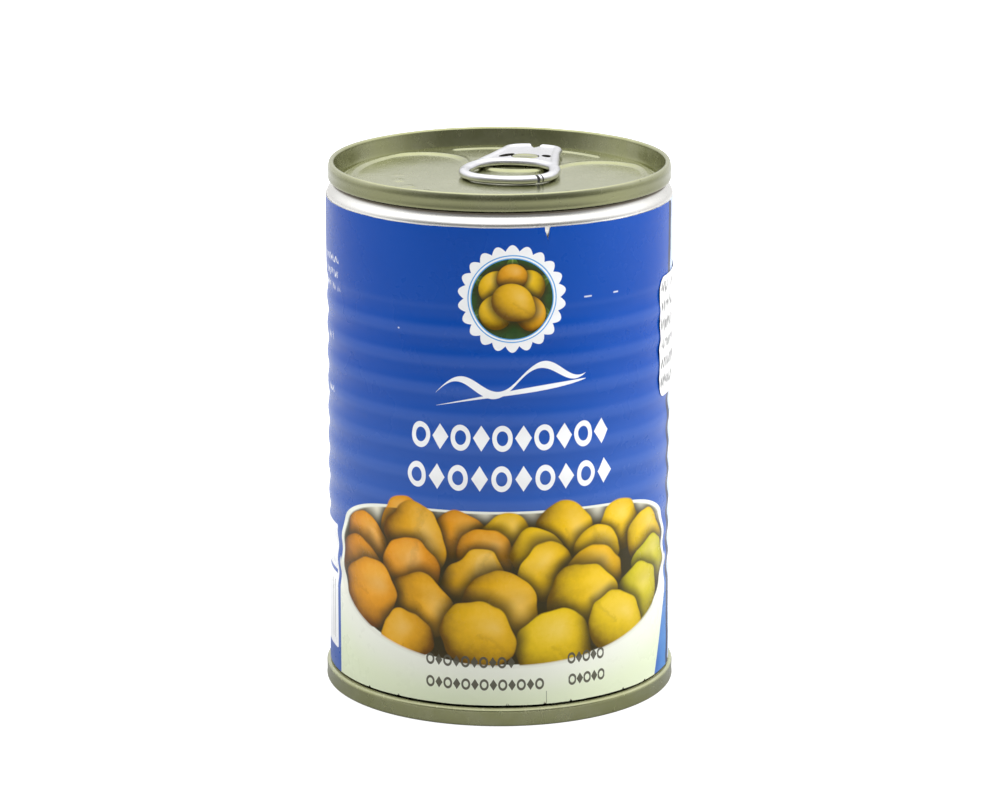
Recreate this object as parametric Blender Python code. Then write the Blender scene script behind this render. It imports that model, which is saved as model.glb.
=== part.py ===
# Sealed food can with a wrapped label and a ring-pull lid.
# Metres, +Z up, origin at the middle of the ring that the can stands on, label front towards -Y.

import math

import bmesh
import bpy
from mathutils import Matrix, Vector

MM = 0.001

# Whole can
CAN_HEIGHT = 113.0 * MM
SEGMENTS = 48
GAP = 0.3 * MM
MERGE_DISTANCE = 0.01 * MM
SMOOTH_ANGLE = math.radians(35.0)

# Body: necked in under the lid, with shallow bead rings along the middle
SHOULDER_RADIUS = 36.4 * MM
BODY_RADIUS = 35.95 * MM
NECK_RADIUS = 35.2 * MM
NECK_LENGTH = 0.7 * MM
NECK_SLOPE = 1.5 * MM
SLOPE_STEPS = 4
BODY_EDGE = 0.4 * MM
BODY_LIP = 0.4 * MM
WELL_SLOPE = 0.8 * MM
BEAD_PITCH = 6.1 * MM
BEAD_COUNT = 11
BEAD_DEPTH = 0.25 * MM
BEAD_MIDDLE = 56.6 * MM

# Label: one sheet wrapped round the body
LABEL_RADIUS = 36.57 * MM
LABEL_THICKNESS = 0.3 * MM
LABEL_BOTTOM = 4.3 * MM
LABEL_TOP = 106.1 * MM
LABEL_BEAD = 0.12 * MM

# Sticker: a small patch over the label, on the right and round to the back
STICKER_THICKNESS = 0.2 * MM
STICKER_START = math.radians(66.0)
STICKER_SPAN = math.radians(64.0)
STICKER_BOTTOM = 65.0 * MM
STICKER_TOP = 90.8 * MM
STICKER_CORNER = 2.0 * MM
STICKER_COLUMNS = 16
CORNER_STEPS = 3

# Lid: double seam, slanted wall, groove and panel
SEAM_RADIUS = 36.1 * MM
SEAM_HEIGHT = 3.8 * MM
SEAM_WIDTH = 1.3 * MM
SEAM_ROUND = 0.45 * MM
SEAM_EDGE = 0.3 * MM
PANEL_DEPTH = 3.4 * MM
PANEL_RADIUS = 32.5 * MM
PANEL_EDGE = 0.4 * MM
GROOVE_DEPTH = 4.7 * MM
GROOVE_RADIUS = 33.4 * MM
GROOVE_ROUND = 0.4 * MM
SHEET = 0.5 * MM
ARC_STEPS = 4

# Sunk field of the lid's panel: a round edge with a lobe each side of the rivet
LID_TURN = math.radians(-14.2)
FIELD_DEPTH = 0.35 * MM
LOBE_X = 19.5 * MM
LOBE_Y = 9.4 * MM
LOBE_RADIUS = 9.0 * MM
HOLLOW_Y = 17.0 * MM
FIELD_STEP = math.radians(12.0)

# Raised arc behind the tab's nose
RIB_RADIUS = 28.2 * MM
RIB_SPAN = math.radians(68.0)
RIB_WIDTH = 0.9 * MM
RIB_HEIGHT = 0.25 * MM
RIB_STEPS = 14
RIB_SIDES = 8

# Tab: a ring for the finger, a rolled edge all round, a nose with a notch
TAB_TURN = math.radians(-13.2)
TAB_X = 1.97 * MM
TAB_Y = -0.4 * MM
TAB_BOTTOM = 109.95 * MM
TAB_ROLL = 1.8 * MM
RING_HALF_WIDTH = 10.4 * MM
RING_FRONT = 9.4 * MM
RING_POWER = 2.3
HOLE_HALF_WIDTH = 8.2 * MM
HOLE_FRONT = 7.2 * MM
HOLE_BACK = 6.9 * MM
NOSE_HALF_WIDTH = 6.6 * MM
NOSE_START = 21.0 * MM
NOSE_END = 25.3 * MM
TAPER_POWER = 1.2
FRONT_STEPS = 20
SIDE_STEPS = 8
NOSE_STEPS = 14
WEB_THICKNESS = 0.6 * MM
WEB_RISE = 0.75 * MM
ROLL_WIDTH = 2.2 * MM
ROLL_SIDES = 8
NOTCH_WIDTH = 1.6 * MM
NOTCH_LENGTH = 3.0 * MM

# Rivet: drawn up from the panel, through the tab's island
RIVET_X = 0.5 * MM
RIVET_Y = 12.6 * MM
RIVET_HEAD = 3.1 * MM
RIVET_STEM = 2.2 * MM
RIVET_TOP = 111.75 * MM
RIVET_DISH = 0.25 * MM
RIVET_EDGE = 0.25 * MM
RIVET_FLARE = 0.9 * MM
RIVET_SIDES = 24
LANCE_RADIUS = 5.3 * MM
LANCE_WIDTH = 0.7 * MM
LANCE_START = math.radians(124.0)
LANCE_END = math.radians(403.0)
LANCE_STEPS = 18
CUT_OVER = 1.0 * MM

# Bottom end: double seam wider than the body, panel set up inside it
FOOT_RADIUS = 37.3 * MM
FOOT_HEIGHT = 3.8 * MM
FOOT_WIDTH = 1.4 * MM
FOOT_ROUND = 0.5 * MM
BASE_EDGE = 0.5 * MM
BASE_BUMP = 0.3 * MM
BASE_DEPTH = 2.9 * MM
BASE_STEP_DEPTH = 3.3 * MM
BASE_RADIUS = 31.6 * MM
BASE_STEP_RADIUS = 22.0 * MM
BASE_WALL_RADIUS = 34.6 * MM


def clear_scene():
    for obj in list(bpy.data.objects):
        bpy.data.objects.remove(obj, do_unlink=True)


def material(name, colour, roughness, metallic):
    made = bpy.data.materials.new(name)
    made.use_nodes = True
    shader = made.node_tree.nodes["Principled BSDF"]
    shader.inputs["Base Color"].default_value = (*colour, 1.0)
    shader.inputs["Roughness"].default_value = roughness
    shader.inputs["Metallic"].default_value = metallic
    return made


def add_object(name, mesh, finish=None):
    obj = bpy.data.objects.new(name, mesh)
    bpy.context.scene.collection.objects.link(obj)
    if finish is not None:
        mesh.materials.append(finish)
    return obj


def mesh_from(name, bm):
    mesh = bpy.data.meshes.new(name)
    bm.to_mesh(mesh)
    bm.free()
    mesh.shade_smooth()
    mesh.set_sharp_from_angle(angle=SMOOTH_ANGLE)
    return mesh


def helper(obj):
    obj.hide_render = True
    obj.display_type = "WIRE"
    return obj


def combine(obj, other, operation):
    cut = obj.modifiers.new(other.name, "BOOLEAN")
    cut.operation = operation
    cut.solver = "EXACT"
    cut.object = other


def turned(name, profile, finish=None, closed=False, steps=SEGMENTS):
    # The profile runs down the outer side, then back to the axis or up the inner side.
    bm = bmesh.new()
    points = [bm.verts.new((radius, 0.0, height)) for radius, height in profile]
    for start, end in zip(points, points[1:]):
        bm.edges.new((start, end))
    if closed:
        bm.edges.new((points[-1], points[0]))
    obj = add_object(name, mesh_from(name, bm), finish)
    screw = obj.modifiers.new("Turn", "SCREW")
    screw.axis = "Z"
    screw.steps = steps
    screw.render_steps = steps
    screw.use_merge_vertices = True
    screw.merge_threshold = MERGE_DISTANCE
    screw.use_smooth_shade = True
    return obj


def arc(centre, radius, start, end, steps):
    points = []
    for step in range(steps + 1):
        angle = start + (end - start) * step / steps
        points.append((centre[0] + radius * math.cos(angle), centre[1] + radius * math.sin(angle)))
    return points


def prism(name, outline, low, high):
    # A closed prism on an outline that runs counterclockwise as seen from above.
    bm = bmesh.new()
    bottom = [bm.verts.new((x, y, low)) for x, y in outline]
    face = bm.faces.new(bottom)
    raised = bmesh.ops.extrude_face_region(bm, geom=[face])
    for item in raised["geom"]:
        if isinstance(item, bmesh.types.BMVert):
            item.co.z = high
    bmesh.ops.recalc_face_normals(bm, faces=bm.faces[:])
    return add_object(name, mesh_from(name, bm))


def swept(name, path, half_width, half_height, middle, sides, closed):
    # An oval bar along a flat path, with the oval square to the path at each point.
    bm = bmesh.new()
    rings = []
    count = len(path)
    for index, (x, y) in enumerate(path):
        before = path[index - 1] if closed or index else path[0]
        after = path[(index + 1) % count] if closed or index < count - 1 else path[-1]
        along = Vector((after[0] - before[0], after[1] - before[1])).normalized()
        ring = []
        for side in range(sides):
            angle = 2.0 * math.pi * (side + 0.5) / sides
            out = half_width * math.cos(angle)
            height = middle + half_height * math.sin(angle)
            ring.append(bm.verts.new((x + along.y * out, y - along.x * out, height)))
        rings.append(ring)
    pairs = list(zip(rings, rings[1:]))
    if closed:
        pairs.append((rings[-1], rings[0]))
    else:
        bm.faces.new(rings[0])
        bm.faces.new(list(reversed(rings[-1])))
    for first, second in pairs:
        for side in range(sides):
            after = (side + 1) % sides
            bm.faces.new((first[side], first[after], second[after], second[side]))
    bmesh.ops.recalc_face_normals(bm, faces=bm.faces[:])
    return add_object(name, mesh_from(name, bm))


def bead_rings(top, bottom):
    # Heights and crest or trough (1 or 0) of the bead rings, from the top down.
    first = BEAD_MIDDLE + BEAD_PITCH * (BEAD_COUNT - 1) / 2.0
    rings = [(top, 1.0), (first + BEAD_PITCH, 1.0), (first + BEAD_PITCH / 2.0, 1.0)]
    for bead in range(BEAD_COUNT):
        rings.append((first - bead * BEAD_PITCH, 0.0))
        rings.append((first - (bead + 0.5) * BEAD_PITCH, 1.0))
    rings.append((bottom, 1.0))
    return rings


def seam_profile(radius, width, rounding, far, near):
    # Outer wall, rolled edge and inner wall of a double seam whose open side is at the height near.
    up = 1.0 if far > near else -1.0
    points = [(radius - SEAM_EDGE, near), (radius, near + up * SEAM_EDGE)]
    for x, y in arc((radius - rounding, 0.0), rounding, 0.0, math.pi / 2.0, ARC_STEPS):
        points.append((x, far + up * (y - rounding)))
    for x, y in arc((radius - width + rounding, 0.0), rounding, math.pi / 2.0, math.pi, ARC_STEPS):
        points.append((x, far + up * (y - rounding)))
    return points


def make_body(finish):
    panel_under = CAN_HEIGHT - PANEL_DEPTH - SHEET - GAP
    groove_under = CAN_HEIGHT - GROOVE_DEPTH - SHEET - GAP
    neck_top = CAN_HEIGHT - SEAM_HEIGHT - GAP
    slope_top = neck_top - NECK_LENGTH
    slope_bottom = slope_top - NECK_SLOPE
    lip = NECK_RADIUS - BODY_LIP
    trough = GROOVE_RADIUS - GROOVE_ROUND - SHEET - GAP
    profile = [(0.0, panel_under), (trough - WELL_SLOPE, panel_under), (trough, groove_under)]
    profile += [(lip - WELL_SLOPE, groove_under), (lip, neck_top), (NECK_RADIUS, neck_top)]
    for step in range(SLOPE_STEPS + 1):
        part = step / SLOPE_STEPS
        out = (1.0 - math.cos(math.pi * part)) / 2.0
        radius = NECK_RADIUS + (SHOULDER_RADIUS - NECK_RADIUS) * out
        profile.append((radius, slope_top + (slope_bottom - slope_top) * part))
    profile += [(SHOULDER_RADIUS, LABEL_TOP + GAP)]
    foot = FOOT_HEIGHT + GAP
    for height, crest in bead_rings(LABEL_TOP + GAP, foot + BODY_EDGE):
        profile.append((BODY_RADIUS - BEAD_DEPTH * (1.0 - crest), height))
    profile += [(BODY_RADIUS - BODY_EDGE, foot), (0.0, foot)]
    return turned("can_body", profile, finish)


def make_label(finish):
    profile = []
    for height, crest in bead_rings(LABEL_TOP, LABEL_BOTTOM):
        profile.append((LABEL_RADIUS - LABEL_BEAD * (1.0 - crest), height))
    inner = LABEL_RADIUS - LABEL_THICKNESS
    profile += [(inner, LABEL_BOTTOM), (inner, LABEL_TOP)]
    return turned("label", profile, finish, closed=True)


def sticker_ends(column):
    # Lower and upper height of the sticker at a column, with its corners rounded off.
    width = STICKER_SPAN * LABEL_RADIUS
    along = width * column
    inset = min(along, width - along)
    if inset >= STICKER_CORNER:
        return STICKER_BOTTOM, STICKER_TOP
    short = STICKER_CORNER - math.sqrt(STICKER_CORNER ** 2 - (STICKER_CORNER - inset) ** 2)
    return STICKER_BOTTOM + short, STICKER_TOP - short


def make_sticker(finish):
    bm = bmesh.new()
    inner = LABEL_RADIUS + GAP
    corner = STICKER_CORNER / (STICKER_SPAN * LABEL_RADIUS)
    columns = [corner * step / CORNER_STEPS for step in range(CORNER_STEPS)]
    for step in range(STICKER_COLUMNS + 1):
        columns.append(corner + (1.0 - 2.0 * corner) * step / STICKER_COLUMNS)
    columns += [1.0 - corner * step / CORNER_STEPS for step in reversed(range(CORNER_STEPS))]
    rings = []
    for column in columns:
        angle = STICKER_START + STICKER_SPAN * column - math.pi / 2.0
        low, high = sticker_ends(column)
        ring = []
        for radius, height in ((inner, low), (inner + STICKER_THICKNESS, low),
                               (inner + STICKER_THICKNESS, high), (inner, high)):
            ring.append(bm.verts.new((radius * math.cos(angle), radius * math.sin(angle), height)))
        rings.append(ring)
    bm.faces.new(rings[0])
    bm.faces.new(list(reversed(rings[-1])))
    for first, second in zip(rings, rings[1:]):
        for side in range(4):
            after = (side + 1) % 4
            bm.faces.new((first[side], first[after], second[after], second[side]))
    bmesh.ops.recalc_face_normals(bm, faces=bm.faces[:])
    return add_object("sticker", mesh_from("sticker", bm), finish)


def field_outline():
    # The lobes touch the round edge from inside and the hollow round the rivet from outside.
    reach = math.hypot(LOBE_X, LOBE_Y)
    edge_radius = reach + LOBE_RADIUS
    edge_angle = math.atan2(LOBE_Y, LOBE_X)
    hollow_radius = math.hypot(LOBE_X, HOLLOW_Y - LOBE_Y) - LOBE_RADIUS
    hollow_angle = math.atan2(LOBE_Y - HOLLOW_Y, LOBE_X)
    parts = (
        ((0.0, 0.0), edge_radius, math.pi - edge_angle, 2.0 * math.pi + edge_angle),
        ((LOBE_X, LOBE_Y), LOBE_RADIUS, edge_angle, math.pi + hollow_angle),
        ((0.0, HOLLOW_Y), hollow_radius, hollow_angle, -math.pi - hollow_angle),
        ((-LOBE_X, LOBE_Y), LOBE_RADIUS, -hollow_angle, math.pi - edge_angle),
    )
    outline = []
    for centre, radius, start, end in parts:
        steps = max(2, round(abs(end - start) / FIELD_STEP))
        outline += arc(centre, radius, start, end, steps)[:-1]
    return outline


def lid_profile():
    panel = CAN_HEIGHT - PANEL_DEPTH
    groove = CAN_HEIGHT - GROOVE_DEPTH
    seam_inner = SEAM_RADIUS - SEAM_WIDTH
    near = CAN_HEIGHT - SEAM_HEIGHT
    wall_foot = GROOVE_RADIUS + GROOVE_ROUND
    well_foot = GROOVE_RADIUS - GROOVE_ROUND
    profile = [(0.0, panel), (PANEL_RADIUS - PANEL_EDGE, panel), (PANEL_RADIUS, panel - PANEL_EDGE)]
    profile += [(well_foot, groove + GROOVE_ROUND), (GROOVE_RADIUS, groove)]
    profile += [(wall_foot, groove + GROOVE_ROUND)]
    profile += list(reversed(seam_profile(SEAM_RADIUS, SEAM_WIDTH, SEAM_ROUND, CAN_HEIGHT, near)))
    profile += [(seam_inner + GAP, near), (wall_foot + SHEET, groove + GROOVE_ROUND)]
    profile += [(GROOVE_RADIUS, groove - SHEET), (well_foot - SHEET, groove)]
    profile += [(PANEL_RADIUS - PANEL_EDGE - SHEET / 2.0, panel - SHEET), (0.0, panel - SHEET)]
    return profile


def make_rivet():
    panel = CAN_HEIGHT - PANEL_DEPTH
    head_under = TAB_BOTTOM + WEB_RISE + WEB_THICKNESS + GAP
    dish = RIVET_TOP - RIVET_DISH
    profile = [(0.0, dish), (RIVET_STEM - RIVET_DISH, dish), (RIVET_STEM, RIVET_TOP)]
    profile += [(RIVET_HEAD - RIVET_EDGE, RIVET_TOP), (RIVET_HEAD, RIVET_TOP - RIVET_EDGE)]
    profile += [(RIVET_HEAD, head_under), (RIVET_STEM, head_under), (RIVET_STEM, panel + RIVET_EDGE)]
    profile += [(RIVET_STEM + RIVET_FLARE, panel - RIVET_EDGE), (0.0, panel - RIVET_EDGE)]
    rivet = turned("rivet_form", profile, steps=RIVET_SIDES)
    rivet.matrix_world = tab_place() @ Matrix.Translation((RIVET_X, RIVET_Y, 0.0))
    return helper(rivet)


def make_lid(finish):
    lid = turned("top_end", lid_profile(), finish)
    panel = CAN_HEIGHT - PANEL_DEPTH
    field = prism("field_cutter", field_outline(), panel - FIELD_DEPTH, panel + CUT_OVER)
    field.rotation_euler.z = LID_TURN
    combine(lid, helper(field), "DIFFERENCE")
    middle = math.pi / 2.0
    path = arc((0.0, 0.0), RIB_RADIUS, middle + RIB_SPAN / 2.0, middle - RIB_SPAN / 2.0, RIB_STEPS)
    rib = swept("rib_form", path, RIB_WIDTH / 2.0, RIB_HEIGHT, panel, RIB_SIDES, closed=False)
    rib.rotation_euler.z = LID_TURN
    combine(lid, helper(rib), "UNION")
    combine(lid, make_rivet(), "UNION")
    return lid


def make_base(finish):
    ring_top = BASE_DEPTH - BASE_EDGE
    groove = BASE_DEPTH + BASE_BUMP
    seam = seam_profile(FOOT_RADIUS, FOOT_WIDTH, FOOT_ROUND, 0.0, FOOT_HEIGHT)
    profile = [(0.0, FOOT_HEIGHT)] + seam
    profile += [(BASE_WALL_RADIUS, BASE_DEPTH), (BASE_WALL_RADIUS - BASE_EDGE, groove)]
    profile += [(BASE_RADIUS + 2.0 * BASE_EDGE, groove), (BASE_RADIUS + BASE_EDGE, ring_top)]
    profile += [(BASE_RADIUS, BASE_DEPTH), (BASE_STEP_RADIUS + BASE_EDGE, BASE_DEPTH)]
    profile += [(BASE_STEP_RADIUS, BASE_STEP_DEPTH), (0.0, BASE_STEP_DEPTH)]
    return turned("bottom_end", profile, finish)


def tab_place():
    return Matrix.Translation((TAB_X, TAB_Y, 0.0)) @ Matrix.Rotation(TAB_TURN, 4, "Z")


def squared_arc(half_width, half_length, start, end, steps, power):
    # Points of a rounded-off oval about the origin: power 2 is an ellipse, more is squarer.
    points = []
    for step in range(steps + 1):
        angle = start + (end - start) * step / steps
        across, along = math.cos(angle), math.sin(angle)
        points.append((
            half_width * math.copysign(abs(across) ** (2.0 / power), across),
            half_length * math.copysign(abs(along) ** (2.0 / power), along),
        ))
    return points


def tab_outline(inset):
    # Front of the ring, right side up to the nose, round the nose, left side down; counterclockwise.
    half_ring = RING_HALF_WIDTH - inset
    half_nose = NOSE_HALF_WIDTH - inset
    front = squared_arc(half_ring, RING_FRONT - inset, math.pi, 2.0 * math.pi, FRONT_STEPS, RING_POWER)
    side = []
    for step in range(1, SIDE_STEPS):
        part = step / SIDE_STEPS
        width = half_nose + (half_ring - half_nose) * (1.0 - part) ** TAPER_POWER
        side.append((width, NOSE_START * part))
    nose = squared_arc(half_nose, NOSE_END - NOSE_START - inset, 0.0, math.pi, NOSE_STEPS, RING_POWER)
    nose = [(x, NOSE_START + y) for x, y in nose]
    return front + side + nose + [(-x, y) for x, y in reversed(side)]


def hole_outline(inset):
    half = HOLE_HALF_WIDTH + inset
    front = squared_arc(half, HOLE_FRONT + inset, math.pi, 2.0 * math.pi, NOSE_STEPS, RING_POWER)
    back = squared_arc(half, HOLE_BACK + inset, 0.0, math.pi, NOSE_STEPS, RING_POWER)
    return front[:-1] + back[:-1]


def lance_outline():
    inner = LANCE_RADIUS - LANCE_WIDTH / 2.0
    outer = LANCE_RADIUS + LANCE_WIDTH / 2.0
    centre = (RIVET_X, RIVET_Y)
    out = arc(centre, outer, LANCE_START, LANCE_END, LANCE_STEPS)
    back = arc(centre, inner, LANCE_END, LANCE_START, LANCE_STEPS)
    return out + back


def make_tab(finish):
    half_roll = ROLL_WIDTH / 2.0
    roll_middle = TAB_BOTTOM + TAB_ROLL / 2.0
    web_low = TAB_BOTTOM + WEB_RISE
    web_high = web_low + WEB_THICKNESS
    tab = prism("pull_tab", tab_outline(half_roll), web_low, web_high)
    tab.data.materials.append(finish)
    low, high = TAB_BOTTOM - CUT_OVER, TAB_BOTTOM + TAB_ROLL + CUT_OVER
    hole = prism("hole_cutter", hole_outline(half_roll), low, high)
    lance = prism("lance_cutter", lance_outline(), low, high)
    rolls = []
    for name, outline in (("rim_form", tab_outline(half_roll)), ("ring_form", hole_outline(half_roll))):
        rolls.append(swept(name, outline, half_roll, TAB_ROLL / 2.0, roll_middle, ROLL_SIDES, closed=True))
    rim, ring = rolls
    bore = RIVET_STEM + GAP
    stem = turned("stem_cutter", [(0.0, high), (bore, high), (bore, low), (0.0, low)], steps=RIVET_SIDES)
    stem.location = (RIVET_X, RIVET_Y, 0.0)
    mouth = NOSE_END + CUT_OVER
    wedge = [(0.0, NOSE_END - NOTCH_LENGTH), (NOTCH_WIDTH / 2.0, mouth), (-NOTCH_WIDTH / 2.0, mouth)]
    notch = prism("notch_cutter", wedge, low, high)
    combine(tab, helper(hole), "DIFFERENCE")
    combine(tab, helper(rim), "UNION")
    combine(tab, helper(ring), "UNION")
    combine(tab, helper(lance), "DIFFERENCE")
    combine(tab, helper(stem), "DIFFERENCE")
    combine(tab, helper(notch), "DIFFERENCE")
    for obj in (tab, hole, lance, rim, ring, stem, notch):
        obj.matrix_world = tab_place() @ obj.matrix_basis
    return tab


def main():
    clear_scene()
    steel = material("bare_steel", (0.66, 0.66, 0.64), 0.28, 1.0)
    lacquer = material("gold_lacquer", (0.36, 0.38, 0.25), 0.35, 0.9)
    aluminium = material("tab_metal", (0.72, 0.72, 0.74), 0.3, 1.0)
    print_sheet = material("label_print", (0.035, 0.1, 0.42), 0.3, 0.0)
    paper = material("sticker_paper", (0.83, 0.83, 0.8), 0.5, 0.0)
    make_body(steel)
    make_label(print_sheet)
    make_sticker(paper)
    make_lid(lacquer)
    make_base(lacquer)
    make_tab(aluminium)


main()
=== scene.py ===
# Sealed can of chickpeas: fine surfaces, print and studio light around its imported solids.
import math
import random

import bpy
import numpy as np
from mathutils import Matrix, Vector


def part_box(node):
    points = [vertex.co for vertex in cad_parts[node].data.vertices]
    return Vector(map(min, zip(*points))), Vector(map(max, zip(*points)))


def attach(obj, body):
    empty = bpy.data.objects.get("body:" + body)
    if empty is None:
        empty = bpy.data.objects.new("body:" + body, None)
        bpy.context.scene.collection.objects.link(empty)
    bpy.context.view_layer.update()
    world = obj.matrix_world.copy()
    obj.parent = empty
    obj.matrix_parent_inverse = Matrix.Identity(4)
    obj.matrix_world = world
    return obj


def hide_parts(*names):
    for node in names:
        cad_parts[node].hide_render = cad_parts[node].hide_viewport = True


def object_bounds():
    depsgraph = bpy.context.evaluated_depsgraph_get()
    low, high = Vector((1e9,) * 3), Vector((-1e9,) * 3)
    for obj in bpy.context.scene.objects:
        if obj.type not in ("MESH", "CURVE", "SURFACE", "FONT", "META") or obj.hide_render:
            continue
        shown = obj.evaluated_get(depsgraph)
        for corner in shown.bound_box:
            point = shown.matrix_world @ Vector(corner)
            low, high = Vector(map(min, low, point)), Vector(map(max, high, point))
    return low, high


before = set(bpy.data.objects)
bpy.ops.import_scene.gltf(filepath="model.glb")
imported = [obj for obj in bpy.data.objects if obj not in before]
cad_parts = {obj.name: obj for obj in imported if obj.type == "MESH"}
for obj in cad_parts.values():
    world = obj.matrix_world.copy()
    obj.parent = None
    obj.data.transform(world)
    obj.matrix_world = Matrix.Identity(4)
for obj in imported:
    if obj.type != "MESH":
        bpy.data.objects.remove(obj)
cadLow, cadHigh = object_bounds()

mm = 0.001
fullTurn = 2.0 * math.pi
white = (1.0, 1.0, 1.0, 1.0)
print("frame loaded:", len(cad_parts), "solids")


# Small mesh helpers, all sizes in mm until the mesh is made

def smoothStep(low, high, value):
    part = np.clip((value - low) / (high - low), 0.0, 1.0)
    return part * part * (3.0 - 2.0 * part)


def arcPoints(centre, radius, start, end, steps):
    points = []
    for step in range(steps + 1):
        angle = start + (end - start) * step / steps
        points.append((centre[0] + radius * math.cos(angle), centre[1] + radius * math.sin(angle)))
    return points


def waves(value, seed, parts=6, longest=40.0):
    # A smooth random line: a few sine waves with seeded lengths and phases, about 1 high.
    pick = random.Random(seed)
    total = np.zeros_like(np.asarray(value, float))
    for part in range(parts):
        length = longest / (1.0 + part * 1.7) * pick.uniform(0.8, 1.2)
        total += np.sin(value * fullTurn / length + pick.uniform(0.0, 6.28)) / (1.0 + part)
    return total / 2.0


def addUv(mesh, name, corners):
    layer = mesh.uv_layers.new(name=name)
    layer.data.foreach_set("uv", np.asarray(corners, np.float32).ravel())


def buildMesh(name, points, faces, materials, smoothAngle=35.0):
    mesh = bpy.data.meshes.new(name)
    mesh.from_pydata((np.asarray(points, float) * mm).tolist(), [], faces)
    mesh.update()
    for made in materials:
        mesh.materials.append(made)
    mesh.shade_smooth()
    mesh.set_sharp_from_angle(angle=math.radians(smoothAngle))
    piece = bpy.data.objects.new(name, mesh)
    bpy.context.scene.collection.objects.link(piece)
    return piece


def cornerIndex(mesh):
    index = np.zeros(len(mesh.loops), int)
    mesh.loops.foreach_get("vertex_index", index)
    return index


def ringFaces(rings, steps):
    faces = []
    for ring in range(rings - 1):
        for step in range(steps):
            after = (step + 1) % steps
            a, b = ring * steps, (ring + 1) * steps
            faces.append((a + step, b + step, b + after, a + after))
    return faces


def lathe(profile, steps):
    # One ring of points round the axis for each radius and height of the profile.
    profile = np.asarray(profile, float)
    angle = fullTurn * np.arange(steps) / steps
    points = np.zeros((len(profile), steps, 3))
    points[:, :, 0] = profile[:, 0:1] * np.cos(angle)
    points[:, :, 1] = profile[:, 0:1] * np.sin(angle)
    points[:, :, 2] = profile[:, 1:2]
    return points


def closeLathe(points):
    # Rings to one closed shell: the first and last ring shrink to a point on the axis.
    rings, steps, _ = points.shape
    flat = points.reshape(-1, 3)
    top = np.array([[0.0, 0.0, points[0, :, 2].mean()]])
    foot = np.array([[0.0, 0.0, points[-1, :, 2].mean()]])
    faces = ringFaces(rings, steps)
    first, last = len(flat), len(flat) + 1
    for step in range(steps):
        after = (step + 1) % steps
        faces.append((first, step, after))
        faces.append((last, (rings - 1) * steps + after, (rings - 1) * steps + step))
    return np.vstack([flat, top, foot]), faces


def turnedUv(piece, rings, steps):
    # Bake layout of a closed lathe: angle across, ring number up. The fans stay thin slivers.
    mesh = piece.data
    index = cornerIndex(mesh)
    ring = np.minimum(index // steps, rings - 1).astype(float)
    step = (index % steps).astype(float)
    count = rings * steps
    ring = np.where(index == count, -0.6, ring)
    ring = np.where(index == count + 1, rings - 0.4, ring)
    starts = np.zeros(len(mesh.polygons), int)
    totals = np.zeros(len(mesh.polygons), int)
    mesh.polygons.foreach_get("loop_start", starts)
    mesh.polygons.foreach_get("loop_total", totals)
    for start, total in zip(starts, totals):
        part = slice(start, start + total)
        if step[part].max() - step[part].min() > steps / 2:
            step[part] = np.where(step[part] < steps / 2, step[part] + steps, step[part])
    across = 0.005 + 0.99 * step / (steps + 0.5)
    up = 0.995 - 0.99 * (ring + 0.7) / (rings + 0.6)
    addUv(mesh, "OFBake", np.stack([across, up], axis=1))


def finePath(points, closed, pitch):
    # Even steps along a line of points.
    path = [Vector(p) for p in points]
    if closed:
        path.append(path[0])
    lengths = [0.0]
    for first, second in zip(path, path[1:]):
        lengths.append(lengths[-1] + (second - first).length)
    count = max(3, round(lengths[-1] / pitch))
    places = np.linspace(0.0, lengths[-1], count + 1)
    found = [np.interp(places, lengths, [p[axis] for p in path]) for axis in range(2)]
    result = list(zip(*found))
    return result[:-1] if closed else result


# Small node helpers

def put(tree, kind, inputs=None, **settings):
    made = tree.nodes.new(kind)
    for key, value in settings.items():
        setattr(made, key, value)
    for key, value in (inputs or {}).items():
        if isinstance(value, bpy.types.NodeSocket):
            tree.links.new(value, made.inputs[key])
        else:
            made.inputs[key].default_value = value
    return made


def calc(tree, operation, *values):
    return put(tree, "ShaderNodeMath", dict(enumerate(values)), operation=operation).outputs[0]


def times(tree, first, *others):
    for other in others:
        first = calc(tree, "MULTIPLY", first, other)
    return first


def plus(tree, first, second):
    return calc(tree, "ADD", first, second)


def minus(tree, first, second):
    return calc(tree, "SUBTRACT", first, second)


def vector(tree, operation, *values):
    made = put(tree, "ShaderNodeVectorMath", dict(enumerate(values)), operation=operation)
    numbers = ("DOT_PRODUCT", "LENGTH", "DISTANCE")
    return made.outputs["Value" if operation in numbers else "Vector"]


def ramp(tree, value, low, high, start=0.0, end=1.0):
    inputs = {"Value": value, "From Min": low, "From Max": high, "To Min": start, "To Max": end}
    # A smooth step stays in its range by itself, and the node's own clamp would double the nodes.
    made = put(tree, "ShaderNodeMapRange", inputs, interpolation_type="SMOOTHSTEP", clamp=False)
    return made.outputs["Result"]


def blendColour(tree, share, under, over, how="MIX"):
    inputs = {0: share, 6: under, 7: over}
    return put(tree, "ShaderNodeMix", inputs, data_type="RGBA", blend_type=how).outputs[2]


def joinAxes(tree, across, up, out=0.0):
    return put(tree, "ShaderNodeCombineXYZ", {"X": across, "Y": up, "Z": out}).outputs["Vector"]


def splitAxes(tree, point):
    return put(tree, "ShaderNodeSeparateXYZ", {"Vector": point}).outputs


def noise(tree, point, scale, detail=3.0, rough=0.55):
    inputs = {"Vector": point, "Scale": scale, "Detail": detail, "Roughness": rough}
    return put(tree, "ShaderNodeTexNoise", inputs).outputs["Fac"]


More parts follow.
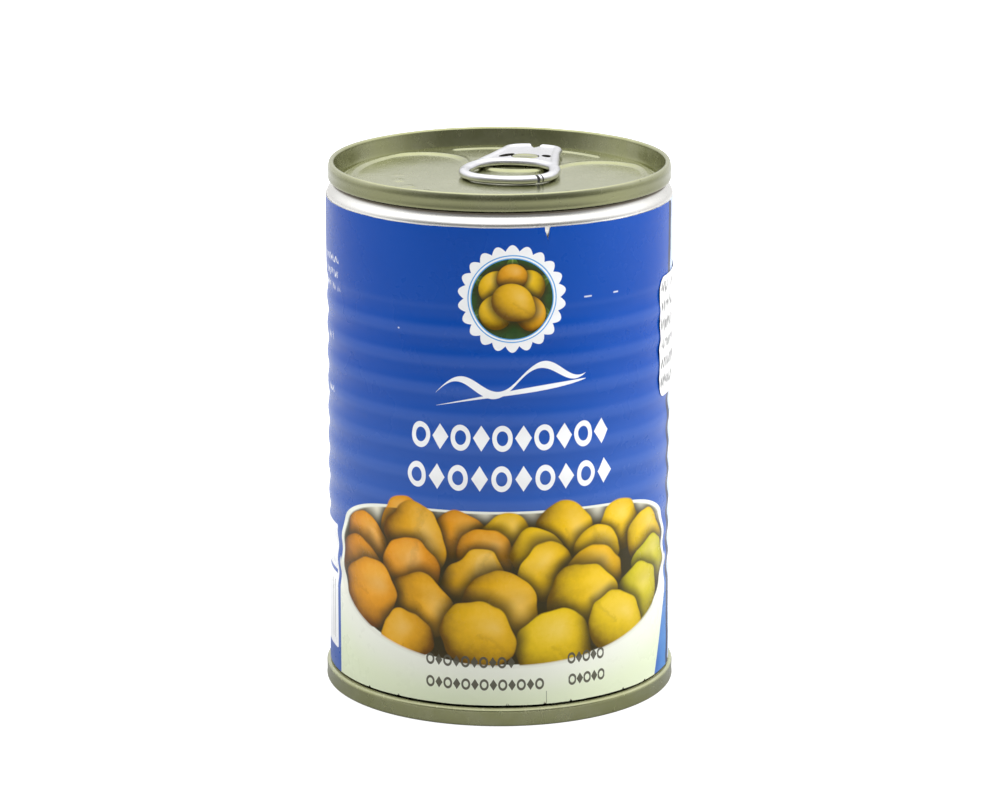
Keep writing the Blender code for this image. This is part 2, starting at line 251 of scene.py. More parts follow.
def newGroup(name, inputs, outputs):
    tree = bpy.data.node_groups.new(name, "ShaderNodeTree")
    kinds = {"colour": "NodeSocketColor", "vector": "NodeSocketVector", "value": "NodeSocketFloat"}
    for label, kind, *default in inputs:
        socket = tree.interface.new_socket(name=label, in_out="INPUT", socket_type=kinds[kind])
        if default:
            socket.default_value = default[0]
    for label, kind in outputs:
        tree.interface.new_socket(name=label, in_out="OUTPUT", socket_type=kinds[kind])
    given = tree.nodes.new("NodeGroupInput").outputs
    result = tree.nodes.new("NodeGroupOutput").inputs
    return tree, given, result


def useGroup(tree, group, **inputs):
    made = put(tree, "ShaderNodeGroup", node_tree=group)
    for key, value in inputs.items():
        socket = made.inputs[key.replace("_", " ")]
        if isinstance(value, bpy.types.NodeSocket):
            tree.links.new(value, socket)
        else:
            socket.default_value = value
    return made.outputs


def newMaterial(name):
    made = bpy.data.materials.new(name)
    made.use_nodes = True
    tree = made.node_tree
    shader = tree.nodes["Principled BSDF"]
    return made, tree, shader


def mmPoint(tree):
    # The point on the piece in mm, from its own object coordinates.
    place = put(tree, "ShaderNodeTexCoord").outputs["Object"]
    made = put(tree, "ShaderNodeVectorMath", {0: place, "Scale": 1000.0}, operation="SCALE")
    return made.outputs["Vector"]


def finishSurface(tree, shader, colour, rough, height, strength, depth):
    # What every finish ends with: colour, roughness and a fine relief, its depth in mm.
    bump = put(tree, "ShaderNodeBump", {"Height": height, "Strength": strength, "Distance": depth * mm})
    tree.links.new(colour, shader.inputs["Base Color"])
    tree.links.new(bump.outputs["Normal"], shader.inputs["Normal"])
    if isinstance(rough, float):
        shader.inputs["Roughness"].default_value = rough
    else:
        tree.links.new(rough, shader.inputs["Roughness"])


# Effects that several finishes share

def makeScuffs():
    tree, given, result = newGroup(
        "fineScuffs",
        [("Point", "vector"), ("Line Scale", "value", 0.4), ("Line Width", "value", 0.02),
         ("Line Amount", "value", 0.5), ("Smudge Scale", "value", 0.08)],
        [("Lines", "value"), ("Smudges", "value"), ("Grain", "value")])
    bent = put(tree, "ShaderNodeTexNoise", {"Vector": given["Point"], "Scale": 0.15, "Detail": 2.0})
    shift = put(tree, "ShaderNodeVectorMath", {0: bent.outputs["Color"], "Scale": 6.0}, operation="SCALE")
    moved = vector(tree, "ADD", given["Point"], shift.outputs["Vector"])
    stretched = vector(tree, "MULTIPLY", moved, (1.0, 0.35, 0.22))
    cells = put(tree, "ShaderNodeTexVoronoi", {"Vector": stretched, "Scale": given["Line Scale"]},
                feature="DISTANCE_TO_EDGE")
    line = ramp(tree, cells.outputs["Distance"], given["Line Width"], 0.0)
    broken = noise(tree, given["Point"], 0.6, 2.0)
    kept = minus(tree, 1.0, given["Line Amount"])
    shown = ramp(tree, broken, kept, plus(tree, kept, 0.08))
    tree.links.new(times(tree, line, shown), result["Lines"])
    tree.links.new(noise(tree, given["Point"], given["Smudge Scale"], 4.0, 0.6), result["Smudges"])
    tree.links.new(noise(tree, given["Point"], 9.0, 2.0, 0.7), result["Grain"])
    return tree


def makeSpecks():
    tree, given, result = newGroup(
        "straySpecks",
        [("Point", "vector"), ("Scale", "value", 0.5), ("Size", "value", 0.08), ("Share", "value", 0.2)],
        [("Mask", "value")])
    cells = put(tree, "ShaderNodeTexVoronoi", {"Vector": given["Point"], "Scale": given["Scale"]})
    dot = ramp(tree, cells.outputs["Distance"], given["Size"], times(tree, given["Size"], 0.5))
    draw = put(tree, "ShaderNodeSeparateColor", {"Color": cells.outputs["Color"]}).outputs["Red"]
    shown = calc(tree, "LESS_THAN", draw, given["Share"])
    tree.links.new(times(tree, dot, shown), result["Mask"])
    return tree


def makeSoftBox():
    tree, given, result = newGroup(
        "softBox",
        [("Point", "vector"), ("Middle", "vector"), ("Half Size", "vector", (1.0, 1.0, 1.0)),
         ("Round", "value", 0.2), ("Edge", "value", 0.06)],
        [("Mask", "value")])
    away = vector(tree, "ABSOLUTE", vector(tree, "SUBTRACT", given["Point"], given["Middle"]))
    over = vector(tree, "SUBTRACT", away, given["Half Size"])
    rounded = vector(tree, "ADD", over, joinAxes(tree, given["Round"], given["Round"], -9.0))
    outside = vector(tree, "LENGTH", vector(tree, "MAXIMUM", rounded, (0.0, 0.0, 0.0)))
    axes = splitAxes(tree, rounded)
    inside = calc(tree, "MINIMUM", calc(tree, "MAXIMUM", axes["X"], axes["Y"]), 0.0)
    gap = minus(tree, plus(tree, outside, inside), given["Round"])
    low = times(tree, given["Edge"], -1.0)
    tree.links.new(ramp(tree, gap, given["Edge"], low), result["Mask"])
    return tree


def makeTextRows(softBox):
    # Rows of a fine uneven wave with gaps, as small print looks from a step away. It spells nothing.
    tree, given, result = newGroup(
        "smallPrintRows",
        [("Point", "vector"), ("Middle", "vector"), ("Half Size", "vector", (1.0, 1.0, 1.0)),
         ("Pitch", "value", 3.0), ("Bar", "value", 0.9), ("Height", "value", 0.5),
         ("Stroke", "value", 0.16), ("Share", "value", 0.6)],
        [("Mask", "value")])
    frameMask = useGroup(tree, softBox, Point=given["Point"], Middle=given["Middle"],
                         Half_Size=given["Half Size"], Round=0.05)["Mask"]
    low = vector(tree, "SUBTRACT", given["Middle"], given["Half Size"])
    axes = splitAxes(tree, vector(tree, "SUBTRACT", given["Point"], low))
    row = calc(tree, "DIVIDE", axes["Y"], given["Pitch"])
    up = times(tree, minus(tree, calc(tree, "FRACT", row), 0.5), given["Pitch"])
    spot = joinAxes(tree, axes["X"], times(tree, calc(tree, "FLOOR", row), 37.0), 0.5)
    drift = times(tree, noise(tree, spot, 0.8, 1.0), 20.0)
    turn = plus(tree, calc(tree, "DIVIDE", times(tree, axes["X"], fullTurn), given["Bar"]), drift)
    uneven = calc(tree, "MULTIPLY_ADD", noise(tree, spot, 2.3, 1.0), 1.9, -0.25)
    tall = times(tree, given["Height"], uneven)
    line = times(tree, calc(tree, "SINE", turn), tall)
    slope = times(tree, calc(tree, "COSINE", turn), times(tree, tall, fullTurn))
    slope = calc(tree, "DIVIDE", slope, given["Bar"])
    steep = calc(tree, "SQRT", calc(tree, "MULTIPLY_ADD", slope, slope, 1.0))
    off = calc(tree, "DIVIDE", calc(tree, "ABSOLUTE", minus(tree, up, line)), steep)
    stroke = ramp(tree, off, times(tree, given["Stroke"], 1.25), times(tree, given["Stroke"], 0.5))
    gapEnd, wordStart = minus(tree, 1.0, given["Share"]), minus(tree, 1.02, given["Share"])
    word = ramp(tree, noise(tree, spot, 0.5, 1.0), gapEnd, wordStart)
    tree.links.new(times(tree, frameMask, stroke, word), result["Mask"])
    return tree


def makePea():
    # One printed chickpea over what lies behind it: a lit round form with a beak, and its own shadow.
    tree, given, result = newGroup(
        "printedPea",
        [("Under", "colour"), ("Point", "vector"), ("Mottle", "value"), ("Shade Mask", "value", 1.0),
         ("Middle", "vector"), ("Width Axis", "vector"), ("Height Axis", "vector"),
         ("Beak Axis", "vector"), ("Beak", "value", 0.2), ("Body", "colour"), ("Shade", "colour"),
         ("Edge", "value", 0.03)],
        [("Colour", "colour")])
    away = vector(tree, "SUBTRACT", given["Point"], given["Middle"])
    across = vector(tree, "DOT_PRODUCT", away, given["Width Axis"])
    up = vector(tree, "DOT_PRODUCT", away, given["Height Axis"])
    flat = joinAxes(tree, across, up)
    reach = vector(tree, "LENGTH", flat)
    facing = vector(tree, "DOT_PRODUCT", vector(tree, "NORMALIZE", flat), given["Beak Axis"])
    beak = calc(tree, "POWER", calc(tree, "MAXIMUM", facing, 0.0), 8.0)
    far = minus(tree, reach, times(tree, beak, given["Beak"]))
    bulge = calc(tree, "MULTIPLY_ADD", far, times(tree, far, -1.0), 1.0)
    bulge = calc(tree, "SQRT", calc(tree, "MAXIMUM", bulge, 0.0))
    normal = joinAxes(tree, across, up, bulge)
    light = vector(tree, "DOT_PRODUCT", normal, (0.12, 0.58, 0.78))
    light = plus(tree, light, times(tree, given["Mottle"], 0.5))
    body = blendColour(tree, ramp(tree, light, -0.18, 0.94), given["Shade"], given["Body"])
    pale = blendColour(tree, 0.35, given["Body"], (1.0, 0.74, 0.2, 1.0))
    body = blendColour(tree, ramp(tree, light, 0.7, 1.1, 0.0, 0.6), body, pale)
    aside = vector(tree, "DOT_PRODUCT", flat, vector(tree, "CROSS_PRODUCT", given["Beak Axis"], (0, 0, 1)))
    crease = ramp(tree, calc(tree, "ABSOLUTE", plus(tree, aside, given["Mottle"])), 0.16, 0.0)
    crease = times(tree, crease, ramp(tree, facing, 0.3, 0.95, 0.0, 0.16))
    body = blendColour(tree, crease, body, given["Shade"])
    shine = vector(tree, "DOT_PRODUCT", normal, (0.3, 0.4, 0.866))
    shine = calc(tree, "POWER", calc(tree, "MINIMUM", calc(tree, "MAXIMUM", shine, 0.0), 1.0), 22.0)
    body = blendColour(tree, times(tree, shine, 0.12), body, (1.0, 0.86, 0.45, 1.0))
    shadow = ramp(tree, far, 1.46, 0.95, 0.0, 0.9)
    shadow = times(tree, shadow, given["Shade Mask"])
    under = blendColour(tree, shadow, given["Under"], (0.035, 0.028, 0.008, 1.0))
    high = plus(tree, 1.0, given["Edge"])
    low = minus(tree, 1.0, given["Edge"])
    tree.links.new(blendColour(tree, ramp(tree, far, high, low), under, body), result["Colour"])
    return tree


def makeLeaf():
    tree, given, result = newGroup(
        "printedLeaf",
        [("Point", "vector"), ("Middle", "vector"), ("Length Axis", "vector"), ("Width Axis", "vector"),
         ("Edge", "value", 0.06)],
        [("Mask", "value"), ("Vein", "value")])
    away = vector(tree, "SUBTRACT", given["Point"], given["Middle"])
    along = vector(tree, "DOT_PRODUCT", away, given["Length Axis"])
    across = calc(tree, "ABSOLUTE", vector(tree, "DOT_PRODUCT", away, given["Width Axis"]))
    half = minus(tree, 1.0, times(tree, along, along))
    over = minus(tree, across, half)
    mask = ramp(tree, over, given["Edge"], times(tree, given["Edge"], -1.0))
    tree.links.new(mask, result["Mask"])
    tree.links.new(times(tree, mask, ramp(tree, across, 0.16, 0.02)), result["Vein"])
    return tree


scuffs = makeScuffs()
specks = makeSpecks()
softBox = makeSoftBox()
textRows = makeTextRows(softBox)
printedPea = makePea()
printedLeaf = makeLeaf()
print("shared effects made")


# Metals

can = {
    "height": cadHigh.z / mm,
    "steps": 256,
    "neckDrop": 4.1,
    "neckRadius": 35.2,
    "shoulderRadius": 36.42,
    "bodyRadius": 36.2,
    "neckLength": 0.4,
    "neckSlope": 2.25,
    "beadPitch": 6.1,
    "beadCount": 11,
    "beadMiddle": 56.6,
    "beadDepth": 0.2,
}

lacquerLook = {
    "colour": (0.36, 0.372, 0.19, 1.0),
    "dark": (0.16, 0.15, 0.08, 1.0),
    # worn is the colour of real wear, and also of the painted highlight on the upper seam's top edge.
    "worn": (0.56, 0.56, 0.42, 1.0),
    # rolled is the painted shade colour of the upper seam's outer wall.
    "rolled": (0.17, 0.174, 0.09, 1.0),
    "seamWall": (35.4, 35.9),
    "seamShadeDepths": (0.5, 1.4),
    "seamHighlightDepths": (0.9, 0.3),
    "footRim": (36.0, 36.3),
    "footTop": (3.3, 3.6),
    "footFade": (5.0, 4.0),
}

# The depths are measured down from the lid's top edge.
steelLook = {
    "colour": (0.86, 0.85, 0.82, 1.0),
    "stained": (0.68, 0.66, 0.61, 1.0),
    # groove is the painted shade colour under the lid's seam.
    "groove": (0.15, 0.13, 0.1, 1.0),
    "underSeamShadeDepths": (4.95, 4.35),
    "underLabelShade": (0.3, 0.27, 0.2, 1.0),
    "underLabelShadeDepths": (8.0, 8.8),
}

tabLook = {
    "colour": (0.74, 0.74, 0.77, 1.0),
    "dull": (0.56, 0.56, 0.59, 1.0),
    "speck": (0.16, 0.15, 0.14, 1.0),
}


def belowTop(depths):
    return [can["height"] - depth for depth in depths]


def lacquerMaterial():
    made, tree, shader = newMaterial("goldLacquer")
    point = mmPoint(tree)
    marks = useGroup(tree, scuffs, Point=point, Line_Scale=0.35, Line_Width=0.03, Line_Amount=0.46,
                     Smudge_Scale=0.16)
    dots = useGroup(tree, specks, Point=point, Scale=0.42, Size=0.11, Share=0.16)["Mask"]
    colour = blendColour(tree, ramp(tree, marks["Smudges"], 0.35, 0.7, 0.0, 0.22),
                         lacquerLook["colour"], lacquerLook["worn"])
    colour = blendColour(tree, times(tree, marks["Lines"], 0.07), colour, lacquerLook["worn"])
    # The outer wall of the upper seam gets painted shade below its top, and a painted highlight along its
    # top edge.
    axes = splitAxes(tree, point)
    away = vector(tree, "LENGTH", joinAxes(tree, axes["X"], axes["Y"]))
    wall = times(tree, ramp(tree, away, *lacquerLook["seamWall"]), ramp(tree, axes["Z"], 90.0, 91.0))
    low = ramp(tree, axes["Z"], *belowTop(lacquerLook["seamShadeDepths"]), 0.0, 0.75)
    colour = blendColour(tree, times(tree, wall, low), colour, lacquerLook["rolled"])
    # Painted highlight: the top edge of the seam wall is lightened.
    edge = ramp(tree, axes["Z"], *belowTop(lacquerLook["seamHighlightDepths"]), 0.0, 0.4)
    colour = blendColour(tree, times(tree, wall, edge), colour, lacquerLook["worn"])
    colour = blendColour(tree, times(tree, dots, 0.6), colour, lacquerLook["dark"])
    # The foot's seam is rubbed matt where the label's lower edge meets it.
    footTop = ramp(tree, axes["Z"], *lacquerLook["footTop"])
    rubbed = times(tree, ramp(tree, away, *lacquerLook["footRim"]), footTop)
    rubbed = times(tree, rubbed, ramp(tree, axes["Z"], *lacquerLook["footFade"], 0.0, 0.85))
    rough = calc(tree, "MULTIPLY_ADD", marks["Smudges"], 0.16, 0.17)
    rough = plus(tree, rough, times(tree, marks["Lines"], 0.1))
    height = plus(tree, times(tree, marks["Grain"], 0.5), marks["Smudges"])
    height = minus(tree, height, times(tree, marks["Lines"], 0.04))
    finishSurface(tree, shader, colour, rough, height, 0.35, 0.04)
    tree.links.new(minus(tree, 1.0, rubbed), shader.inputs["Metallic"])
    shader.inputs["Coat Weight"].default_value = 0.25
    shader.inputs["Coat Roughness"].default_value = 0.1
    return made


def steelMaterial():
    made, tree, shader = newMaterial("brightTinplate")
    point = mmPoint(tree)
    marks = useGroup(tree, scuffs, Point=point, Line_Scale=0.5, Line_Width=0.03, Line_Amount=0.5,
                     Smudge_Scale=0.1)
    axes = splitAxes(tree, point)
    level = joinAxes(tree, times(tree, axes["X"], 0.3), times(tree, axes["Y"], 0.3),
                     times(tree, axes["Z"], 0.6))
    rolled = noise(tree, level, 0.5, 3.0, 0.5)
    colour = blendColour(tree, ramp(tree, marks["Smudges"], 0.4, 0.75, 0.0, 0.3),
                         steelLook["colour"], steelLook["stained"])
    # Painted shade under the lid's seam: the groove is painted dark brown, and its steel is rougher there.
    under = ramp(tree, axes["Z"], *belowTop(steelLook["underSeamShadeDepths"]))
    colour = blendColour(tree, under, colour, steelLook["groove"])
    # Painted shade on the wall under the label's top edge: the steel there is darker.
    underLabelShade = ramp(tree, axes["Z"], *belowTop(steelLook["underLabelShadeDepths"]))
    colour = blendColour(tree, underLabelShade, colour, steelLook["underLabelShade"])
    rough = calc(tree, "MULTIPLY_ADD", rolled, 0.14, calc(tree, "MULTIPLY_ADD", under, 0.3, 0.2))
    height = minus(tree, rolled, marks["Lines"])
    finishSurface(tree, shader, colour, rough, height, 0.25, 0.03)
    shader.inputs["Metallic"].default_value = 1.0
    return made


def tabMaterial():
    made, tree, shader = newMaterial("stampedTabSteel")
    point = mmPoint(tree)
    marks = useGroup(tree, scuffs, Point=point, Line_Scale=0.9, Line_Width=0.04, Line_Amount=0.5,
                     Smudge_Scale=0.3)
    dots = useGroup(tree, specks, Point=point, Scale=0.8, Size=0.12, Share=0.1)["Mask"]
    colour = blendColour(tree, ramp(tree, marks["Smudges"], 0.4, 0.7, 0.0, 0.35),
                         tabLook["colour"], tabLook["dull"])
    colour = blendColour(tree, times(tree, dots, 0.5), colour, tabLook["speck"])
    rough = calc(tree, "MULTIPLY_ADD", marks["Smudges"], 0.2, 0.2)
    height = minus(tree, marks["Grain"], marks["Lines"])
    finishSurface(tree, shader, colour, rough, height, 0.3, 0.03)
    shader.inputs["Metallic"].default_value = 1.0
    return made


def slitShadeMaterial():
    # Near-black walls inside the small punched slits: painted shade of the deep slits.
    made, tree, shader = newMaterial("slitShadeSteel")
    marks = useGroup(tree, scuffs, Point=mmPoint(tree), Line_Amount=0.4, Smudge_Scale=1.2)
    colour = blendColour(tree, marks["Smudges"], (0.012, 0.011, 0.01, 1.0), (0.05, 0.045, 0.04, 1.0))
    finishSurface(tree, shader, colour, 0.7, marks["Grain"], 0.4, 0.03)
    return made


slitShadeSteel = slitShadeMaterial()
goldLacquer = lacquerMaterial()
brightSteel = steelMaterial()
tabSteel = tabMaterial()


# Can body: necked in under the lid, with bead rings under the label

def beadShare(height):
    # 0 on the flat and on crests, 1 at the bottom of each ring.
    span = can["beadPitch"] * can["beadCount"] / 2.0
    turn = (height - can["beadMiddle"]) / can["beadPitch"]
    dip = (1.0 + np.cos(turn * fullTurn)) / 2.0
    ends = smoothStep(span + 0.2, span - 0.6, np.abs(height - can["beadMiddle"]))
    return dip * ends


def makeBody():
    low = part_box("can_body")[0].z / mm
    neckTop = can["height"] - can["neckDrop"]
    slopeTop = neckTop - can["neckLength"]
    slopeFoot = slopeTop - can["neckSlope"]
    profile = [(0.4, neckTop - 1.2), (can["neckRadius"] - 1.4, neckTop - 1.2)]
    profile += [(can["neckRadius"] - 0.4, neckTop - 0.3), (can["neckRadius"] - 0.3, neckTop)]
    profile += [(can["neckRadius"], neckTop - 0.05)]
    for step in range(13):
        part = step / 12.0
        out = (1.0 - math.cos(math.pi * part)) / 2.0
        radius = can["neckRadius"] + (can["shoulderRadius"] - can["neckRadius"]) * out
        profile.append((radius, slopeTop + (slopeFoot - slopeTop) * part))
    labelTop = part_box("label")[1].z / mm
    profile += [(can["shoulderRadius"], labelTop - 0.6), (can["bodyRadius"], labelTop - 4.0)]
    for height in np.linspace(labelTop - 5.0, low + 1.2, 170):
        profile.append((can["bodyRadius"] - can["beadDepth"] * float(beadShare(height)), height))
    profile += [(can["bodyRadius"], low + 0.9), (35.4, low), (0.4, low)]
    points, faces = closeLathe(lathe(profile, can["steps"]))
    piece = buildMesh("canBody", points, faces, [brightSteel])
    turnedUv(piece, len(profile), can["steps"])
    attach(piece, "root")
    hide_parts("can_body")


makeBody()
print("can body made")


# Top end: rolled seam, slanted wall, groove and stamped panel, with its rivet

lid = {
    "steps": 320,
    "seamRadius": 36.1,
    "seamHeight": 3.8,
    "seamWidth": 1.3,
    "seamRound": 0.55,
    "seamDrop": 1.7,
    "panelDepth": 3.4,
    "panelRadius": 32.5,
    "panelRings": 86,
    "grooveDepth": 4.7,
    "grooveRadius": 33.4,
    "sheet": 0.5,
    "turn": math.radians(-14.2),
    "fieldDepth": 0.35,
    "lobe": (19.5, 9.4),
    "lobeRadius": 9.0,
    "hollowY": 17.0,
    "ribRadius": 28.2,
    "ribSpan": math.radians(68.0),
    "ribHeight": 0.3,
    "scoreRadius": 31.2,
    "scoreDepth": 0.07,
    "marksRadius": 21.5,
    "marksWidth": 1.1,
    "marksHeight": 0.15,
    "marksRound": 21.0,
}

tab = {
    "turn": math.radians(-13.2),
    "x": 2.15,
    "y": -0.4,
    "bottom": 109.8,
    "roll": 1.8,
    "lean": 0.014,
    "rollWidth": 2.2,
    "ringHalf": 10.65,
    "ringFront": 9.4,
    "holeHalf": 8.4,
    "holeFront": 7.2,
    "holeBack": 8.6,
    "noseHalf": 6.6,
    "noseStart": 21.0,
    "noseEnd": 25.3,
    "webRise": 0.2,
    "web": 1.3,
    "rivet": (0.35, 13.1),
    "rivetDepth": 0.8,
    # Each slit as across and up from the rivet, length, width and angle.
    "slits": ((-4.1, 0.1, 4.4, 2.0, 58.0), (4.5, 0.9, 2.8, 1.9, -43.0)),
    # Each split in the curled edge as angle round the ring, width and depth.
    "splits": ((3.35, 0.25, 1.0), (5.5, 0.5, 1.3), (5.62, 0.25, 0.9)),
    "notch": (0.3, 2.6, 3.6),
    "rivetHole": (6.1, 4.9),
}


def fieldOutline():
    # The same form as the lid's solid: a round edge with a lobe each side of the rivet.
    lobeX, lobeY = lid["lobe"]
    edgeRadius = math.hypot(lobeX, lobeY) + lid["lobeRadius"]
    edgeAngle = math.atan2(lobeY, lobeX)
    hollowRadius = math.hypot(lobeX, lid["hollowY"] - lobeY) - lid["lobeRadius"]
    hollowAngle = math.atan2(lobeY - lid["hollowY"], lobeX)
    outline = arcPoints((0, 0), edgeRadius, math.pi - edgeAngle, fullTurn + edgeAngle, 70)[:-1]
    outline += arcPoints((lobeX, lobeY), lid["lobeRadius"], edgeAngle, math.pi + hollowAngle, 30)[:-1]
    outline += arcPoints((0, lid["hollowY"]), hollowRadius, hollowAngle, -math.pi - hollowAngle, 30)[:-1]
    outline += arcPoints((-lobeX, lobeY), lid["lobeRadius"], -hollowAngle, math.pi - edgeAngle, 30)[:-1]
    return np.array(outline)


def signedDistance(x, y, outline):
    # Below zero inside the outline.
    best = np.full(x.shape, 1e9)
    inside = np.zeros(x.shape, bool)
    for (ax, ay), (bx, by) in zip(outline, np.roll(outline, -1, axis=0)):
        dx, dy = bx - ax, by - ay
        part = np.clip(((x - ax) * dx + (y - ay) * dy) / (dx * dx + dy * dy), 0.0, 1.0)
        best = np.minimum(best, np.hypot(x - ax - part * dx, y - ay - part * dy))
        if ay != by:
            crossing = (ay > y) != (by > y)
            inside ^= crossing & (x < (bx - ax) * (y - ay) / (by - ay) + ax)
    return np.where(inside, -best, best)


def panelRelief(x, y):
    c, s = math.cos(-lid["turn"]), math.sin(-lid["turn"])
    lx, ly = x * c - y * s, x * s + y * c
    radius, angle = np.hypot(lx, ly), np.arctan2(ly, lx)
    side = signedDistance(lx, ly, fieldOutline())
    relief = -lid["fieldDepth"] * smoothStep(0.35, -0.55, side)
    relief += 0.12 * np.exp(-((side - 0.75) / 0.4) ** 2)
    off = np.abs(np.angle(np.exp(1j * (angle - math.pi / 2))))
    past = np.maximum(off - lid["ribSpan"] / 2.0, 0.0) * lid["ribRadius"]
    relief += lid["ribHeight"] * np.exp(-(np.hypot(radius - lid["ribRadius"], past) / 0.42) ** 2)
    relief -= lid["scoreDepth"] * np.exp(-((radius - lid["scoreRadius"]) / 0.16) ** 2)
    relief += 0.05 * np.exp(-((radius - lid["scoreRadius"] + 0.5) / 0.3) ** 2)
    # Short dashes in the front half, raised along one arc.
    dashes = np.cos(angle * lid["marksRound"])
    dashes = dashes * smoothStep(-3.05, -2.85, angle) * smoothStep(-0.35, -0.55, angle)
    band = np.exp(-((radius - lid["marksRadius"]) / lid["marksWidth"]) ** 4)
    relief += lid["marksHeight"] * band * smoothStep(0.1, 0.55, dashes)
    relief += 0.02 * waves(x, 3, 5, 22.0) * waves(y, 4, 5, 26.0)
    return relief


def lidProfile():
    # Panel, groove, wall and outer seam, then back to the axis underneath.
    top, panel = can["height"], can["height"] - lid["panelDepth"]
    groove = can["height"] - lid["grooveDepth"]
    near = top - lid["seamHeight"]
    inner = lid["seamRadius"] - lid["seamWidth"]
    panelRadii = np.linspace(0.4, lid["panelRadius"] - 0.8, lid["panelRings"])
    profile = [(radius, panel) for radius in panelRadii]
    profile += arcPoints((lid["panelRadius"] - 0.5, panel - 0.5), 0.5, math.pi / 2, 0.1, 6)
    profile += arcPoints((lid["grooveRadius"], groove + 0.45), 0.45, -math.pi, 0.0, 10)
    footRadius, footHeight = profile[-1]
    seamRound, tall = lid["seamRound"], lid["seamDrop"]
    for part in np.linspace(0.1, 0.95, 8):
        across = footRadius + (inner - footRadius) * part ** 0.8
        profile.append((across, footHeight + (top - seamRound - footHeight) * part))
    profile += arcPoints((inner + seamRound, top - seamRound), seamRound, math.pi, math.pi / 2, 7)
    for turn in np.linspace(math.pi / 2, 0.0, 14):
        across = lid["seamRadius"] - seamRound + seamRound * math.cos(turn)
        profile.append((across, top - tall + tall * math.sin(turn)))
    seamDrop = near + 0.35
    for part in np.linspace(0.15, 0.85, 6):
        bulge = 0.05 * math.sin(part * math.pi)
        profile.append((lid["seamRadius"] - bulge, top - tall + (seamDrop - top + tall) * part))
    profile += arcPoints((lid["seamRadius"] - 0.35, near + 0.35), 0.33, 0.0, -math.pi / 2, 5)
    profile += [(inner + 0.3, near), (footRadius + lid["sheet"], groove + 0.45)]
    profile += [(lid["grooveRadius"], groove - lid["sheet"]), (lid["grooveRadius"] - 0.9, groove)]
    profile += [(lid["panelRadius"] - 0.7, panel - lid["sheet"]), (0.4, panel - lid["sheet"])]
    return profile


def tabPlace():
    return Matrix.Translation((tab["x"], tab["y"], 0.0)) @ Matrix.Rotation(tab["turn"], 4, "Z")


def rivetParts():
    panel = can["height"] - lid["panelDepth"]
    top = tab["bottom"] + tab["webRise"] + tab["web"] - 0.1
    profile = [(0.1, top - 0.12), (2.1, top - 0.1), (2.4, top)]
    profile += arcPoints((2.6, top - 0.25), 0.25, math.pi / 2, 0.0, 6)
    profile += [(2.8, panel + 0.3), (2.9, panel + 0.05), (3.1, panel - 0.2), (0.1, panel - 0.25)]
    shell = lathe(profile, 64)
    points, faces = closeLathe(shell)
    oval = Matrix.Diagonal((1.0, tab["rivetDepth"], 1.0, 1.0))
    place = tabPlace() @ Matrix.Translation((*tab["rivet"], 0.0)) @ oval
    return np.array([place @ Vector(p) for p in points]), faces


def makeTopEnd():
    profile = lidProfile()
    shell = lathe(profile, lid["steps"])
    onPanel = lid["panelRings"]
    x, y = shell[:onPanel, :, 0], shell[:onPanel, :, 1]
    fade = smoothStep(lid["panelRadius"] - 0.7, lid["panelRadius"] - 1.6, np.hypot(x, y))
    shell[:onPanel, :, 2] += panelRelief(x, y) * fade
    angle = fullTurn * np.arange(lid["steps"]) / lid["steps"]
    rim = (shell[:, :, 2] > can["height"] - 1.2).astype(float)
    shell[:, :, 2] -= rim * 0.03 * (1.0 + waves(angle * 36.0, 11, 6, 50.0))
    points, faces = closeLathe(shell)
    count, ringCount = len(points), len(profile)
    more, moreFaces = rivetParts()
    points = np.vstack([points, more])
    faces = faces + [tuple(i + count for i in face) for face in moreFaces]
    piece = buildMesh("topEnd", points, faces, [goldLacquer], 50.0)
    index = cornerIndex(piece.data)
    spot = points[index]
    gaps = np.hypot(*np.diff(np.array(profile), axis=0).T)
    along = np.concatenate([[0.0], np.cumsum(gaps)])
    reach = np.zeros(len(points))
    reach[:ringCount * lid["steps"]] = np.repeat(along, lid["steps"])
    turn = np.arctan2(spot[:, 1], spot[:, 0])
    total = reach.max()
    spread = reach[index]
    spread = np.where(index >= count, total + 2.0 + (can["height"] - spot[:, 2]) * 0.5, spread)
    spread = np.where(index == count - 1, total + 0.5, spread)
    radius = 0.48 * spread / (total + 6.0)
    circle = np.stack([radius * np.cos(turn), radius * np.sin(turn)], axis=1)
    addUv(piece.data, "OFBake", 0.5 + circle)
    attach(piece, "root")
    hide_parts("top_end")


makeTopEnd()
print("top end made")


# Pull tab: web with two rolled edges, a lanced island, a notch and small splits in the curl

def squaredArc(halfWidth, halfLength, start, end, steps, power=2.3):
    points = []
    for step in range(steps + 1):
        angle = start + (end - start) * step / steps
        across, along = math.cos(angle), math.sin(angle)
        points.append((halfWidth * math.copysign(abs(across) ** (2.0 / power), across),
                       halfLength * math.copysign(abs(along) ** (2.0 / power), along)))
    return points


def tabOutline(inset):
    ring, nose = tab["ringHalf"] - inset, tab["noseHalf"] - inset
    front = squaredArc(ring, tab["ringFront"] - inset, math.pi, fullTurn, 60)
    side = []
    for step in range(1, 24):
        part = step / 24
        side.append((nose + (ring - nose) * (1.0 - part) ** 1.2, tab["noseStart"] * part))
    back = squaredArc(nose, tab["noseEnd"] - tab["noseStart"] - inset, 0.0, math.pi, 40)
    back = [(x, y + tab["noseStart"]) for x, y in back]
    return finePath(front + side + back + [(-x, y) for x, y in reversed(side)], True, 0.55)


def holeOutline(inset):
    half = tab["holeHalf"] + inset
    front = squaredArc(half, tab["holeFront"] + inset, math.pi, fullTurn, 50)
    back = squaredArc(half, tab["holeBack"] + inset, 0.0, math.pi, 50)
    return finePath(front[:-1] + back[:-1], True, 0.55)


def prismShell(outline, low, high):
    count = len(outline)
    points = [(x, y, low) for x, y in outline] + [(x, y, high) for x, y in outline]
    faces = [tuple(reversed(range(count))), tuple(range(count, 2 * count))]
    for step in range(count):
        after = (step + 1) % count
        faces.append((step, after, count + after, count + step))
    return points, faces


